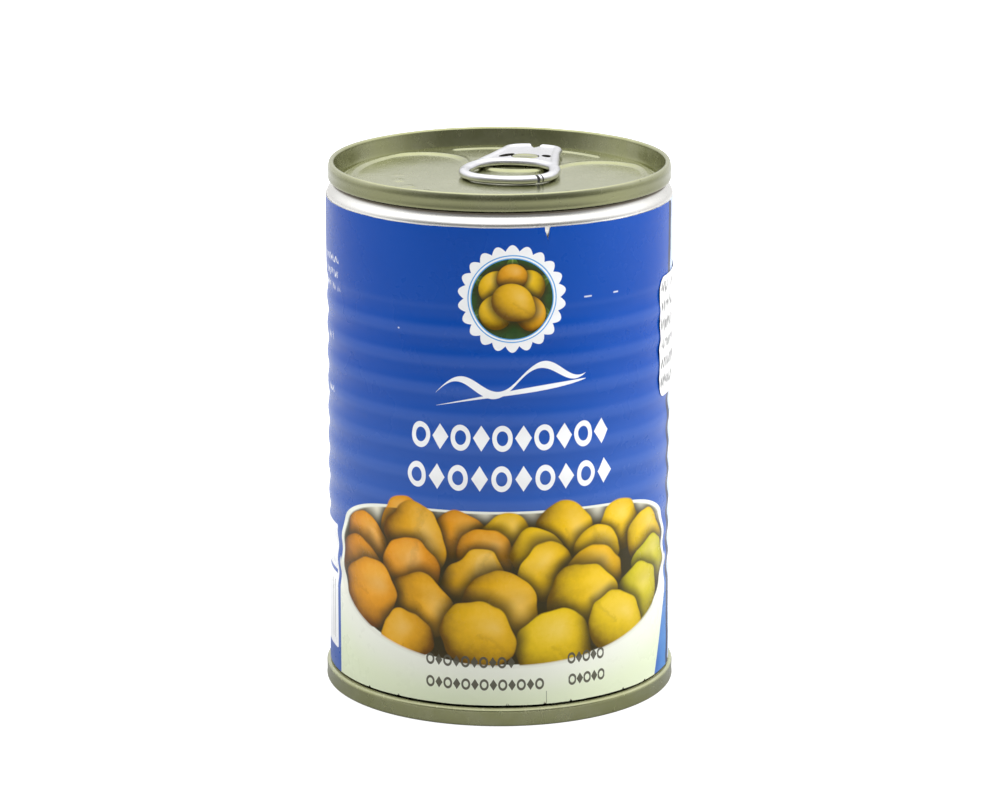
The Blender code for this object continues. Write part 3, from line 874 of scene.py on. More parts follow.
def rollShell(path, halfWidth, halfHeight, middle, sides, swell):
    # An oval bar along a closed path, a little uneven as a curled edge is.
    count = len(path)
    points = []
    for index, (x, y) in enumerate(path):
        before, after = path[index - 1], path[(index + 1) % count]
        along = Vector((after[0] - before[0], after[1] - before[1])).normalized()
        more = 1.0 + swell * math.sin(index * 0.31) * math.sin(index * 0.113 + 1.0)
        for side in range(sides):
            angle = fullTurn * (side + 0.5) / sides
            out, up = halfWidth * math.cos(angle) * more, halfHeight * math.sin(angle) * more
            points.append((x + along.y * out, y - along.x * out, middle + up))
    faces = []
    for ring in range(count):
        nextRing = (ring + 1) % count
        for side in range(sides):
            after = (side + 1) % sides
            faces.append((ring * sides + side, nextRing * sides + side, nextRing * sides + after,
                          ring * sides + after))
    return points, faces


def applyAll(piece):
    bpy.context.view_layer.update()
    depsgraph = bpy.context.evaluated_depsgraph_get()
    mesh = bpy.data.meshes.new_from_object(piece.evaluated_get(depsgraph))
    piece.modifiers.clear()
    piece.data = mesh


def ovalShape(across, up, length, width, turn):
    # An oval hole beside the rivet, at an angle in degrees.
    c, s = math.cos(math.radians(turn)), math.sin(math.radians(turn))
    x, y = tab["rivet"][0] + across, tab["rivet"][1] + up
    points = []
    for angle in np.linspace(0.0, fullTurn, 41)[:-1]:
        along, aside = length / 2 * math.cos(angle), width / 2 * math.sin(angle)
        points.append((x + along * c - aside * s, y + along * s + aside * c))
    return points


def makeTab():
    halfRoll = tab["rollWidth"] / 2.0
    webLow = tab["bottom"] + tab["webRise"]
    webHigh = webLow + tab["web"]
    below, above = tab["bottom"] - 1.0, tab["bottom"] + tab["roll"] + 1.0
    middle, halfHeight = tab["bottom"] + tab["roll"] / 2.0, tab["roll"] / 2.0
    piece = buildMesh("pullTab", *prismShell(tabOutline(halfRoll), webLow, webHigh), [tabSteel])
    mouth = tab["noseEnd"] + 1.0
    notchMiddle, notchHalf, notchDepth = tab["notch"]
    notch = [(notchMiddle, tab["noseEnd"] - notchDepth), (notchMiddle + notchHalf, mouth),
             (notchMiddle - notchHalf, mouth)]
    rivetHole = ovalShape(0.0, 0.0, *tab["rivetHole"], 0.0)
    steps = [("DIFFERENCE", prismShell(holeOutline(halfRoll), below, above)),
             ("DIFFERENCE", prismShell(rivetHole, below, above))]
    steps += [("DIFFERENCE", prismShell(ovalShape(*slit), below, above)) for slit in tab["slits"]]
    steps += [("UNION", rollShell(tabOutline(halfRoll), halfRoll, halfHeight, middle, 20, 0.05)),
              ("UNION", rollShell(holeOutline(halfRoll), halfRoll, halfHeight, middle, 20, 0.04)),
              ("DIFFERENCE", prismShell(notch, below, above))]
    for angle, width, depth in tab["splits"]:
        x, y = squaredArc(tab["ringHalf"] - 0.2, tab["ringFront"] - 0.2, angle, angle + 1, 1)[0]
        out = Vector((x, y)).normalized()
        aside = Vector((-out.y, out.x)) * width / 2
        near, far = Vector((x, y)) - out * depth, Vector((x, y)) + out
        corners = [near - aside, far - aside * 1.6, far + aside * 1.6, near + aside]
        steps.append(("DIFFERENCE", prismShell([tuple(c) for c in corners], middle - 1.2, above)))
    helpers = []
    for index, (operation, shell) in enumerate(steps):
        other = buildMesh(f"tabForm{index}", *shell, [])
        cut = piece.modifiers.new(f"form{index}", "BOOLEAN")
        cut.operation, cut.solver, cut.object = operation, "EXACT", other
        helpers.append(other)
    applyAll(piece)
    for other in helpers:
        bpy.data.objects.remove(other)
    piece.data.shade_smooth()
    piece.data.set_sharp_from_angle(angle=math.radians(40.0))
    # The slits' side walls get the near-black painted shade.
    piece.data.materials.append(slitShadeSteel)
    for face in piece.data.polygons:
        x, y, _ = face.center / mm
        for across, up, length, *_ in tab["slits"]:
            dx, dy = x - tab["rivet"][0] - across, y - tab["rivet"][1] - up
            if abs(face.normal.z) < 0.5 and math.hypot(dx, dy) < length / 2 + 0.1:
                face.material_index = len(piece.data.materials) - 1
    place = tabPlace()
    place.translation *= mm
    # The ring end leans down onto the panel.
    lean = Matrix.Identity(4)
    lean[2][1] = tab["lean"]
    lean[2][3] = -tab["lean"] * tab["noseEnd"] * mm
    piece.data.transform(place @ lean)
    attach(piece, "root")
    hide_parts("pull_tab")


makeTab()
print("pull tab made")


# Bottom end: rolled seam that the can stands on, with a stepped panel inside it

foot = {
    "steps": 256,
    "width": 1.4,
    "round": 0.5,
    "depth": 2.9,
    "stepDepth": 3.3,
    "stepRadius": 22.0,
    "wallRadius": 34.6,
    "shoulder": (0.75, 0.7),
    "edgeSteps": ((32.8, -0.1), (32.3, -0.45), (31.9, -0.5), (31.5, -0.1)),
    "ringMiddles": (29.0, 26.8, 24.6),
    "ringHalf": 1.1,
    "ringRise": 0.12,
}


def makeBottomEnd():
    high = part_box("bottom_end")[1]
    radius, height, r = high.x / mm, high.z / mm, foot["round"]
    depth, inner = foot["depth"], radius - foot["width"]
    profile = [(0.4, height), (radius - 1.2, height)]
    wide, tall = foot["shoulder"]
    for turn in np.linspace(math.pi / 2, 0.1, 9):
        across = radius - wide + (wide - 0.02) * math.cos(turn)
        profile.append((across, height - tall + tall * math.sin(turn)))
    for part in np.linspace(0.1, 0.9, 6):
        bulge = 0.04 * math.sin(part * math.pi)
        profile.append((radius - 0.02 - bulge, height - tall + (r + tall - height) * part))
    profile += arcPoints((radius - r, r), r, 0.0, -math.pi / 2, 7)
    profile += arcPoints((inner + r, r), r, -math.pi / 2, -math.pi, 7)
    profile += [(foot["wallRadius"] + 0.25, depth - 0.4)]
    profile += arcPoints((foot["wallRadius"] - 0.6, depth - 0.1), 0.45, 0.0, math.pi, 8)
    profile += [(across, depth + rise) for across, rise in foot["edgeSteps"]]
    for middle in foot["ringMiddles"]:
        for turn in np.linspace(0.0, fullTurn, 9)[:-1]:
            across = middle + foot["ringHalf"] * (1.0 - 2.0 * turn / fullTurn)
            profile.append((across, depth - foot["ringRise"] * (1.0 - math.cos(turn))))
    profile += [(foot["stepRadius"] + 0.5, depth), (foot["stepRadius"], foot["stepDepth"])]
    profile += [(0.4, foot["stepDepth"])]
    points, faces = closeLathe(lathe(profile, foot["steps"]))
    piece = buildMesh("bottomEnd", points, faces, [goldLacquer], 50.0)
    turnedUv(piece, len(profile), foot["steps"])
    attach(piece, "root")
    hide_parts("bottom_end")


makeBottomEnd()
print("bottom end made")


# Label: printed sheet wrapped round the can, with its overlap on the right

wrap = {
    "radius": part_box("label")[1].x / mm,
    "bottom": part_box("label")[0].z / mm,
    "top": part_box("label")[1].z / mm,
    "thickness": 0.09,
    "underStart": math.radians(64.0),
    "overlapEnd": math.radians(75.6),
    "lift": 0.12,
    "liftLength": 2.6,
    "slantLength": 12.0,
    "flare": (88.0, 95.0, 0.1),
    "bead": 0.3,
    "columnPitch": 0.8,
    "rowPitch": 0.62,
    "endLow": math.radians(79.6),
    "endHigh": math.radians(77.0),
    # The tear as place, depth and half width, and the nicks as place and depth.
    "tear": (9.93, 2.6, 0.55),
    "nicks": ((-22.6, 0.5), (1.7, 0.7), (9.6, 0.9), (15.4, 0.6), (29.0, 0.5), (-31.0, 0.4), (36.5, 0.4)),
}


def overlapEdge(height):
    # Angle of the outer end of the sheet: it slants and is a little wavy.
    share = (height - wrap["bottom"]) / (wrap["top"] - wrap["bottom"])
    slant = wrap["endLow"] + (wrap["endHigh"] - wrap["endLow"]) * share ** 0.8
    return slant + math.radians(0.35) * waves(height, 21, 6, 34.0)


def labelColumns():
    start = (wrap["underStart"] - fullTurn) * wrap["radius"]
    end = wrap["overlapEnd"] * wrap["radius"]
    columns = list(np.arange(start, end, wrap["columnPitch"])) + [end]
    spots = [(wrap["tear"][0], 1.4)] + [(place, 0.6) for place, _ in wrap["nicks"]]
    for place, reach in spots:
        columns = [c for c in columns if abs(c - place) > reach]
        columns += list(np.linspace(place - reach, place + reach, 15))
    return np.array(sorted(columns))


def labelEdges(columns):
    tearAt, tearDepth, tearHalf = wrap["tear"]
    top = wrap["top"] - 0.06 - 0.06 * waves(columns, 31, 7, 30.0)
    side = np.abs(columns - tearAt + 0.12)
    notch = np.clip(1.0 - side / tearHalf, 0.0, 1.0) ** 0.7
    ragged = 1.0 + 0.25 * np.sin(columns * 9.0) + 0.15 * np.sin(columns * 23.0)
    top = top - tearDepth * notch * np.clip(ragged, 0.75, 1.1)
    bottom = wrap["bottom"] - 0.52 + 0.04 * waves(columns, 32, 7, 25.0)
    for place, depth in wrap["nicks"]:
        bottom = bottom + depth * np.clip(1.0 - np.abs(columns - place) / 0.32, 0.0, 1.0)
    return bottom, top


def labelShape():
    columns = labelColumns()
    bottom, top = labelEdges(columns)
    rows = np.linspace(0.0, 1.0, int((wrap["top"] - wrap["bottom"]) / wrap["rowPitch"]) + 1)
    height = bottom[None, :] + (top - bottom)[None, :] * rows[:, None]
    arc = np.repeat(columns[None, :], len(rows), axis=0)
    end = columns[-1]
    pull = smoothStep(end - wrap["slantLength"], end, arc)
    arc = arc + (overlapEdge(height) * wrap["radius"] - end) * pull
    start = columns[0]
    flareLow, flareHigh, flare = wrap["flare"]
    radius = wrap["radius"] - 0.04 + flare * smoothStep(flareLow, flareHigh, height)
    # The inner end lies a little deeper, and the outer end runs over it.
    radius -= 0.06 * smoothStep(start + 40.0, start + 10.0, arc)
    radius += 0.05 * smoothStep(end - 22.0, end - 12.0, arc)
    # The sticker holds the lifted end down.
    low, high = (corner.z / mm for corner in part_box("sticker"))
    held = smoothStep(low - 5.0, low - 0.5, height) * smoothStep(high + 5.0, high + 0.5, height)
    lift = wrap["lift"] * (0.6 + 0.4 * waves(height, 23, 5, 22.0)) * (1.0 - held)
    radius += smoothStep(end - wrap["liftLength"], end + 0.5, arc) * lift
    radius -= wrap["bead"] * beadShare(height)
    radius += 0.022 * waves(arc, 24, 6, 46.0) * waves(height + arc * 0.4, 25, 5, 38.0)
    radius -= 0.05 * smoothStep(1.6, 0.0, top[None, :] - height)
    tearAt = wrap["tear"][0]
    near = np.exp(-((arc - tearAt) / 1.2) ** 2 - ((height - wrap["top"] + 2.0) / 2.2) ** 2)
    radius += 0.12 * near
    return arc, height, radius


def ringPoints(arc, height, radius):
    angle = arc / wrap["radius"] - math.pi / 2.0
    return np.stack([radius * np.cos(angle), radius * np.sin(angle), height], axis=-1)


def sheetShell(arc, height, radius, thickness):
    # A closed thin sheet: front grid, back grid, and the four edges between them.
    rows, columns = arc.shape
    outer = ringPoints(arc, height, radius).reshape(-1, 3)
    inner = ringPoints(arc, height, radius - thickness).reshape(-1, 3)
    faces = []
    back = rows * columns
    for row in range(rows - 1):
        for column in range(columns - 1):
            a = row * columns + column
            b = a + columns
            faces.append((a, a + 1, b + 1, b))
    frontCount = len(faces)
    for row in range(rows - 1):
        for column in range(columns - 1):
            a = back + row * columns + column
            b = a + columns
            faces.append((a, b, b + 1, a + 1))
    for column in range(columns - 1):
        faces.append((column, back + column, back + column + 1, column + 1))
        a = (rows - 1) * columns + column
        faces.append((a, a + 1, back + a + 1, back + a))
    for row in range(rows - 1):
        a, b = row * columns, (row + 1) * columns
        faces.append((a, b, back + b, back + a))
        a, b = a + columns - 1, b + columns - 1
        faces.append((a, back + a, back + b, b))
    return np.vstack([outer, inner]), faces, frontCount


def sheetUv(piece, arc, height):
    # One map in mm for the print, and one inside the unit square for baking.
    index = cornerIndex(piece.data)
    count = arc.size
    flatArc, flatHeight = arc.ravel(), height.ravel()
    place = np.stack([flatArc[index % count], flatHeight[index % count]], axis=1)
    addUv(piece.data, "printPlace", place)
    low, high = arc.min(), arc.max()
    across = 0.005 + 0.99 * (place[:, 0] - low) / (high - low)
    up = (place[:, 1] - height.min()) / (height.max() - height.min())
    front = index < count
    up = np.where(front, 0.16 + 0.83 * up, 0.005 + 0.13 * up)
    addUv(piece.data, "OFBake", np.stack([across, up], axis=1))
    piece.data.uv_layers["OFBake"].active = True


# Print on the label, in mm: across from the middle of the front, and up

printColours = {
    "blue": (0.002, 0.066, 0.39, 1.0),
    "deepBlue": (0.001, 0.053, 0.34, 1.0),
    "lowBlue": (0.028, 0.098, 0.41, 1.0),
    # crest is the painted highlight colour of the bead crests.
    "crest": (0.11, 0.2, 0.55, 1.0),
    "seamShade": (0.004, 0.012, 0.06, 1.0),
    "underlapSheen": (0.5, 0.6, 0.8, 1.0),
    "lightBlue": (0.1, 0.36, 0.75, 1.0),
    "white": (0.9, 0.91, 0.92, 1.0),
    "cream": (0.76, 0.83, 0.6, 1.0),
    "creamEdge": (0.84, 0.86, 0.76, 1.0),
    "bowlInside": (0.8, 0.77, 0.62, 1.0),
    "gap": (0.05, 0.035, 0.012, 1.0),
    "ink": (0.09, 0.085, 0.06, 1.0),
    "leaf": (0.045, 0.11, 0.02, 1.0),
    "leafDark": (0.012, 0.03, 0.01, 1.0),
    "leafBright": (0.1, 0.22, 0.03, 1.0),
    "leafVein": (0.3, 0.42, 0.1, 1.0),
    "lip": (0.76, 0.77, 0.68, 1.0),
}

# Boxes as left, right, low, high.
panels = {
    "left": (-88.0, -44.6, 9.2, 36.6),
    "leftLine": (-90.0, -45.6, 25.6, 26.5),
    "leftBars": ((-48.6, -48.15, 11.0, 24.0), (-47.0, -46.55, 11.0, 24.0)),
    "back": (-141.0, -95.0, 14.0, 92.0),
    "backLine": (-138.0, -98.0, 83.4, 84.0),
    "backRows": (-137.0, -99.0, 20.0, 80.0),
    "sideRows": (((-76.0, -42.2, 86.8, 95.8), 3.0), ((-72.0, -46.0, 60.2, 83.2), 11.5)),
    "scrapes": ((18.0, 19.8, 90.7, 91.0), (25.3, 26.6, 90.7, 91.0), (-22.2, -21.8, 83.7, 84.0)),
    "hair": (9.85, 10.0, 4.6, 7.2),
}

# Each pair is where a change of the ground starts and where it is full.
ground = {
    "low": (84.0, 46.0),
    "beadHighlightTop": (90.6, 88.0),
    "cornerAcross": (39.0, 47.0),
    "cornerUp": (36.0, 9.0),
    "underlapSheenStart": (-171.2, -171.6),
    "overlap": (190.0, 191.0),
    "overlapPlace": 195.0,
    "pictureHalf": 52.0,
    "pictureTop": 50.2,
}

badge = {
    "middle": (2.64, 91.3),
    "radius": 11.0,
    "scallops": 22,
    "ring": 8.95,
    "picture": 8.35,
    # The place in the heap whose colours the fruit takes.
    "tone": (4.0, 32.0),
    "leaves": ((150, 5.2, 4.2, 1.7), (30, 5.2, 4.2, 1.7), (90, 5.6, 3.6, 1.6), (205, 5.4, 4.0, 1.5),
               (335, 5.4, 4.0, 1.5)),
    "fruit": ((-3.2, 2.3, 3.6), (3.2, 2.5, 3.7), (0.0, 4.6, 3.0), (-3.4, -2.9, 3.5), (3.5, -2.8, 3.6),
              (0.0, -0.7, 3.9)),
}

bowl = {
    "middle": (2.0, 29.6),
    "half": (44.3, 16.8),
    "topPower": 3.7,
    "footPower": 2.15,
    "leftEdge": -43.0,
    "wedge": (46.9, 21.7, 0.34),
}

heap = {
    "seed": 12,
    # Rows from the back as height, size, count, left and right.
    "rows": ((39.4, 5.4, 5, -21.0, 27.0), (35.4, 6.2, 6, -31.5, 36.0), (30.5, 7.2, 6, -34.5, 36.8),
             (24.8, 7.6, 5, -31.5, 34.5), (18.2, 7.4, 4, -22.0, 27.0)),
    "crown": 2.6,
    "orange": (0.76, 0.3, 0.012),
    "amber": (0.72, 0.37, 0.012),
    "yellow": (0.82, 0.52, 0.01),
    "olive": (0.54, 0.49, 0.014),
}


def printPoint(tree):
    return put(tree, "ShaderNodeUVMap", uv_map="printPlace").outputs["UV"]


def opaque(colour):
    return (*colour, 1.0)


def boxInputs(point, left, right, low, high):
    middle = ((left + right) / 2.0, (low + high) / 2.0, 0.0)
    half = ((right - left) / 2.0, (high - low) / 2.0, 1.0)
    return {"Point": point, "Middle": middle, "Half_Size": half}


def boxMask(tree, point, box, rounding=0.3, edge=0.07):
    return useGroup(tree, softBox, **boxInputs(point, *box), Round=rounding, Edge=edge)["Mask"]


def rowsMask(tree, point, box, pitch, bar, height, stroke, share):
    return useGroup(tree, textRows, **boxInputs(point, *box), Pitch=pitch, Bar=bar, Height=height,
                    Stroke=stroke, Share=share)["Mask"]


def fieldColour(tree, point):
    # The blue ground with the side panels, which both label finishes share.
    shade = noise(tree, point, 0.035, 2.0)
    colour = blendColour(tree, ramp(tree, shade, 0.35, 0.7, 0.0, 0.35), printColours["blue"],
                         printColours["deepBlue"])
    axes = splitAxes(tree, point)
    colour = blendColour(tree, ramp(tree, axes["Y"], *ground["low"]), colour, printColours["lowBlue"])
    # Painted highlight: the bead crests are lighter blue, up to the top bead.
    firstBead = 0.5 - can["beadMiddle"] / can["beadPitch"]
    turn = calc(tree, "MULTIPLY_ADD", axes["Y"], 1.0 / can["beadPitch"], firstBead)
    crest = calc(tree, "ABSOLUTE", minus(tree, calc(tree, "FRACT", turn), 0.5))
    beaded = ramp(tree, axes["Y"], *ground["beadHighlightTop"])
    rubbed = times(tree, ramp(tree, crest, 0.2, 0.42, 0.0, 0.2), beaded)
    colour = blendColour(tree, rubbed, colour, printColours["crest"])
    faded = ramp(tree, axes["Y"], *ground["cornerUp"], 0.0, 0.5)
    faded = times(tree, faded, ramp(tree, axes["X"], *ground["cornerAcross"]))
    colour = blendColour(tree, faded, colour, printColours["lightBlue"])
    # Painted reflection: the inner end of the sheet, seen past the overlap, is pale blue-white.
    underlapSheen = ramp(tree, axes["X"], *ground["underlapSheenStart"])
    colour = blendColour(tree, underlapSheen, colour, printColours["underlapSheen"])
    # Painted shadow: the dark band where the outer end of the sheet lies over the inner one.
    overlap = ramp(tree, axes["X"], *ground["overlap"])
    colour = blendColour(tree, overlap, colour, printColours["seamShade"])
    panel = boxMask(tree, point, panels["left"], 0.6)
    colour = blendColour(tree, panel, colour, printColours["white"])
    line = boxMask(tree, point, panels["leftLine"], 0.1)
    colour = blendColour(tree, line, colour, printColours["blue"])
    for box in panels["leftBars"]:
        upright = boxMask(tree, point, box, 0.1)
        colour = blendColour(tree, times(tree, upright, 0.6), colour, printColours["ink"])
    return colour


def finishLabel(tree, shader, colour):
    place = mmPoint(tree)
    marks = useGroup(tree, scuffs, Point=place, Line_Scale=0.22, Line_Width=0.012, Line_Amount=0.2,
                     Smudge_Scale=0.07)
    worn = times(tree, marks["Lines"], 0.22)
    colour = blendColour(tree, worn, colour, printColours["white"])
    rough = calc(tree, "MULTIPLY_ADD", marks["Smudges"], 0.16, 0.2)
    rough = plus(tree, rough, worn)
    height = calc(tree, "MULTIPLY_ADD", marks["Grain"], 0.25, times(tree, marks["Smudges"], 0.8))
    height = minus(tree, height, times(tree, worn, 0.25))
    finishSurface(tree, shader, colour, rough, height, 0.3, 0.05)
    shader.inputs["Specular IOR Level"].default_value = 0.16


def peaAxes(width, height, turn):
    c, s = math.cos(turn), math.sin(turn)
    return (c / width, s / width, 0.0), (-s / height, c / height, 0.0)


def peaColours(across, up, pick):
    # Orange to the upper left, amber, then yellow and olive to the lower right.
    slant = across / 62.0 - (up - 30.0) / 60.0 - 0.12 + pick.uniform(-0.4, 0.4)
    steps = [heap["orange"], heap["amber"], heap["yellow"], heap["olive"]]
    place = min(max((slant + 0.75) / 1.5, 0.0), 0.999) * (len(steps) - 1)
    first, second = steps[int(place)], steps[int(place) + 1]
    body = [a + (b - a) * (place % 1.0) for a, b in zip(first, second)]
    return opaque(body), opaque((body[0] * 0.17, body[1] * 0.14, body[2] * 0.3))


def addPea(tree, colour, point, mottle, shadeMask, spot, size, pick, edge=0.2, tone=None):
    wide = size * pick.uniform(0.95, 1.12)
    tall = size * pick.uniform(0.88, 1.02)
    widthAxis, heightAxis = peaAxes(wide, tall, pick.uniform(-0.9, 0.9))
    beakTurn = pick.uniform(0.0, fullTurn)
    body, shade = peaColours(*(tone or spot), pick)
    return useGroup(
        tree, printedPea, Under=colour, Point=point, Mottle=mottle, Shade_Mask=shadeMask,
        Middle=(*spot, 0.0), Width_Axis=widthAxis, Height_Axis=heightAxis,
        Beak_Axis=(math.cos(beakTurn), math.sin(beakTurn), 0.0), Beak=pick.uniform(0.06, 0.32),
        Body=body, Shade=shade, Edge=edge / size)["Colour"]


def bowlShape(tree, point):
    # Below 1 inside the bowl's mouth: square-shouldered above, round below.
    away = vector(tree, "SUBTRACT", point, (*bowl["middle"], 0.0))
    axes = splitAxes(tree, vector(tree, "DIVIDE", away, (*bowl["half"], 1.0)))
    above = calc(tree, "GREATER_THAN", axes["Y"], 0.0)
    power = calc(tree, "MULTIPLY_ADD", above, bowl["topPower"] - bowl["footPower"], bowl["footPower"])
    across = calc(tree, "POWER", calc(tree, "ABSOLUTE", axes["X"]), power)
    up = calc(tree, "POWER", calc(tree, "ABSOLUTE", axes["Y"]), power)
    total = calc(tree, "POWER", plus(tree, across, up), calc(tree, "DIVIDE", 1.0, power))
    return total, axes["Y"]


swash = {
    "left": -13.4,
    "right": 18.6,
    "low": 70.6,
    "rise": 5.6,
    "wave": 2.3,
    "thick": 0.95,
}

# Rows as left, right, middle, half height and count.
ornament = {
    "rows": ((-19.05, 24.65, 61.95, 2.75, 10), (-20.1, 25.55, 53.3, 2.75, 10)),
    "smallRows": ((-15.8, 3.4, 13.8, 1.25, 10), (14.6, 23.4, 13.8, 1.25, 5), (-15.8, 9.4, 8.9, 1.25, 13),
                  (14.8, 23.6, 9.1, 1.25, 5)),
}


def ornamentMask(tree, point, left, right, middle, half, count):
    # Bold rings and lozenges in turn.
    pitch = (right - left) / count
    line = half * 0.22
    axes = splitAxes(tree, point)
    place = calc(tree, "DIVIDE", minus(tree, axes["X"], left), pitch)
    across = times(tree, minus(tree, calc(tree, "FRACT", place), 0.5), pitch)
    up = minus(tree, axes["Y"], middle)
    odd = calc(tree, "GREATER_THAN", calc(tree, "FRACT", times(tree, place, 0.5)), 0.5)
    inside = times(tree, calc(tree, "GREATER_THAN", place, 0.0),
                  calc(tree, "LESS_THAN", place, float(count)))
    reach = vector(tree, "LENGTH", joinAxes(tree, times(tree, across, 1.3), up))
    ring = calc(tree, "ABSOLUTE", minus(tree, reach, half - line))
    ring = ramp(tree, ring, line + 0.06, line - 0.06)
    diamond = plus(tree, calc(tree, "ABSOLUTE", calc(tree, "DIVIDE", across, half * 0.64)),
                   calc(tree, "ABSOLUTE", calc(tree, "DIVIDE", up, half)))
    diamond = ramp(tree, diamond, 1.03, 0.96)
    both = plus(tree, times(tree, ring, minus(tree, 1.0, odd)), times(tree, diamond, odd))
    return times(tree, both, inside)


def pictureMaterial():
    made, tree, shader = newMaterial("labelPicture")
    point = printPoint(tree)
    colour = fieldColour(tree, point)
    reach, level = bowlShape(tree, point)
    silhouette = ramp(tree, reach, 1.0, 0.995)
    colour = blendColour(tree, silhouette, colour, printColours["creamEdge"])
    mouth = ramp(tree, reach, 0.975, 0.955)
    inside = blendColour(tree, ramp(tree, level, 0.95, 0.2), printColours["bowlInside"],
                         printColours["gap"])
    colour = blendColour(tree, mouth, colour, inside)
    drift = put(tree, "ShaderNodeTexNoise", {"Vector": point, "Scale": 0.13, "Detail": 1.0})
    shift = vector(tree, "SUBTRACT", drift.outputs["Color"], (0.5, 0.5, 0.5))
    shift = vector(tree, "MULTIPLY", shift, (3.4, 3.4, 0.0))
    bent = vector(tree, "ADD", vector(tree, "MULTIPLY", point, (1.0, 1.0, 0.0)), shift)
    mottle = minus(tree, noise(tree, point, 0.75, 4.0, 0.6), 0.5)
    mottle = times(tree, mottle, 0.55)
    pick = random.Random(heap["seed"])
    for height, size, count, left, right in heap["rows"]:
        places = []
        for index in range(count):
            across = left + (right - left) * index / (count - 1) + pick.uniform(-1.8, 1.8)
            crown = heap["crown"] * (1.0 - (across / 42.0) ** 2) * (height - 15.0) / 30.0
            places.append((across, height + crown + pick.uniform(-1.6, 1.6)))
        pick.shuffle(places)
        for spot in places:
            colour = addPea(tree, colour, bent, mottle, mouth, spot, size * pick.uniform(0.88, 1.14), pick)
    axes = splitAxes(tree, point)
    below = ramp(tree, axes["Y"], bowl["middle"][1] + 1.0, bowl["middle"][1] - 1.0)
    outside = times(tree, ramp(tree, reach, 0.985, 1.0), below)
    wedgeX, wedgeY, wedgeSlope = bowl["wedge"]
    drop = calc(tree, "MAXIMUM", minus(tree, wedgeY, axes["Y"]), 0.0)
    right = calc(tree, "MULTIPLY_ADD", drop, -wedgeSlope, wedgeX)
    inRight = ramp(tree, minus(tree, axes["X"], right), 0.07, -0.07)
    inLeft = ramp(tree, axes["X"], bowl["leftEdge"] - 0.07, bowl["leftEdge"] + 0.07)
    outside = times(tree, outside, inRight, inLeft)
    wall = blendColour(tree, ramp(tree, reach, 1.5, 1.0), printColours["cream"], printColours["creamEdge"])
    colour = blendColour(tree, outside, colour, wall)
    lip = times(tree, ramp(tree, reach, 0.97, 0.985), ramp(tree, reach, 1.03, 1.01))
    lip = times(tree, lip, below)
    colour = blendColour(tree, times(tree, lip, 0.7), colour, printColours["lip"])
    for row in ornament["smallRows"]:
        colour = blendColour(tree, times(tree, ornamentMask(tree, point, *row), 0.95), colour,
                             printColours["ink"])
    hair = boxMask(tree, point, panels["hair"], 0.05, 0.05)
    colour = blendColour(tree, times(tree, hair, 0.7), colour, printColours["ink"])
    finishLabel(tree, shader, colour)
    return made


def badgeColour(tree, point, colour):
    away = vector(tree, "SUBTRACT", point, (*badge["middle"], 0.0))
    away = vector(tree, "MULTIPLY", away, (1.0, 1.0, 0.0))
    axes = splitAxes(tree, away)
    far = vector(tree, "LENGTH", away)
    turn = calc(tree, "ARCTAN2", axes["Y"], axes["X"])
    petal = calc(tree, "ABSOLUTE", calc(tree, "SINE", times(tree, turn, badge["scallops"] / 2.0)))
    edge = calc(tree, "MULTIPLY_ADD", petal, 1.25, badge["radius"] - 1.0)
    colour = blendColour(tree, ramp(tree, minus(tree, far, edge), 0.07, -0.07), colour,
                         printColours["white"])
    ring, picture = badge["ring"], badge["picture"]
    circles = ((ring + 0.3, ring + 0.18, "lightBlue"), (ring + 0.05, ring - 0.05, "white"),
               (picture + 0.28, picture + 0.18, "lightBlue"))
    for start, full, name in circles:
        colour = blendColour(tree, ramp(tree, far, start, full), colour, printColours[name])
    disc = ramp(tree, far, picture + 0.06, picture - 0.06)
    picture = blendColour(tree, noise(tree, point, 0.5, 2.0), printColours["leafDark"],
                          printColours["leaf"])
    middle = Vector((*badge["middle"], 0.0))
    for turnDegrees, reach, length, width in badge["leaves"]:
        turnAway = math.radians(turnDegrees)
        spot = middle + Vector((math.cos(turnAway), math.sin(turnAway), 0.0)) * reach
        along = (math.cos(turnAway) / length, math.sin(turnAway) / length, 0.0)
        across = (-math.sin(turnAway) / width, math.cos(turnAway) / width, 0.0)
        leaf = useGroup(tree, printedLeaf, Point=point, Middle=tuple(spot), Length_Axis=along,
                        Width_Axis=across)
        picture = blendColour(tree, leaf["Mask"], picture, printColours["leafBright"])
        picture = blendColour(tree, leaf["Vein"], picture, printColours["leafVein"])
    mottle = times(tree, minus(tree, noise(tree, point, 1.1, 3.0), 0.5), 0.4)
    pick = random.Random(5)
    flat = vector(tree, "MULTIPLY", point, (1.0, 1.0, 0.0))
    for across, up, size in badge["fruit"]:
        spot = (badge["middle"][0] + across, badge["middle"][1] + up)
        picture = addPea(tree, picture, flat, mottle, 0.9, spot, size, pick, 0.1, badge["tone"])
    return blendColour(tree, disc, colour, picture)


def swashMask(tree, point, shiftUp, waveSize, thick, turns):
    # A tapered wave that rises to the right, thin at both ends.
    axes = splitAxes(tree, point)
    part = calc(tree, "DIVIDE", minus(tree, axes["X"], swash["left"]), swash["right"] - swash["left"])
    inside = times(tree, calc(tree, "GREATER_THAN", part, 0.0), calc(tree, "LESS_THAN", part, 1.0))
    bend = calc(tree, "SINE", times(tree, part, turns))
    middle = calc(tree, "MULTIPLY_ADD", part, swash["rise"], swash["low"] + shiftUp)
    middle = calc(tree, "MULTIPLY_ADD", bend, waveSize, middle)
    taper = times(tree, part, minus(tree, 1.0, part), 4.0)
    taper = calc(tree, "POWER", calc(tree, "MAXIMUM", taper, 0.0), 0.6)
    swell = calc(tree, "MULTIPLY_ADD", calc(tree, "COSINE", times(tree, part, turns)), -0.45, 0.75)
    half = times(tree, taper, swell, thick)
    over = minus(tree, calc(tree, "ABSOLUTE", minus(tree, axes["Y"], middle)), half)
    return times(tree, inside, ramp(tree, over, 0.08, -0.08))


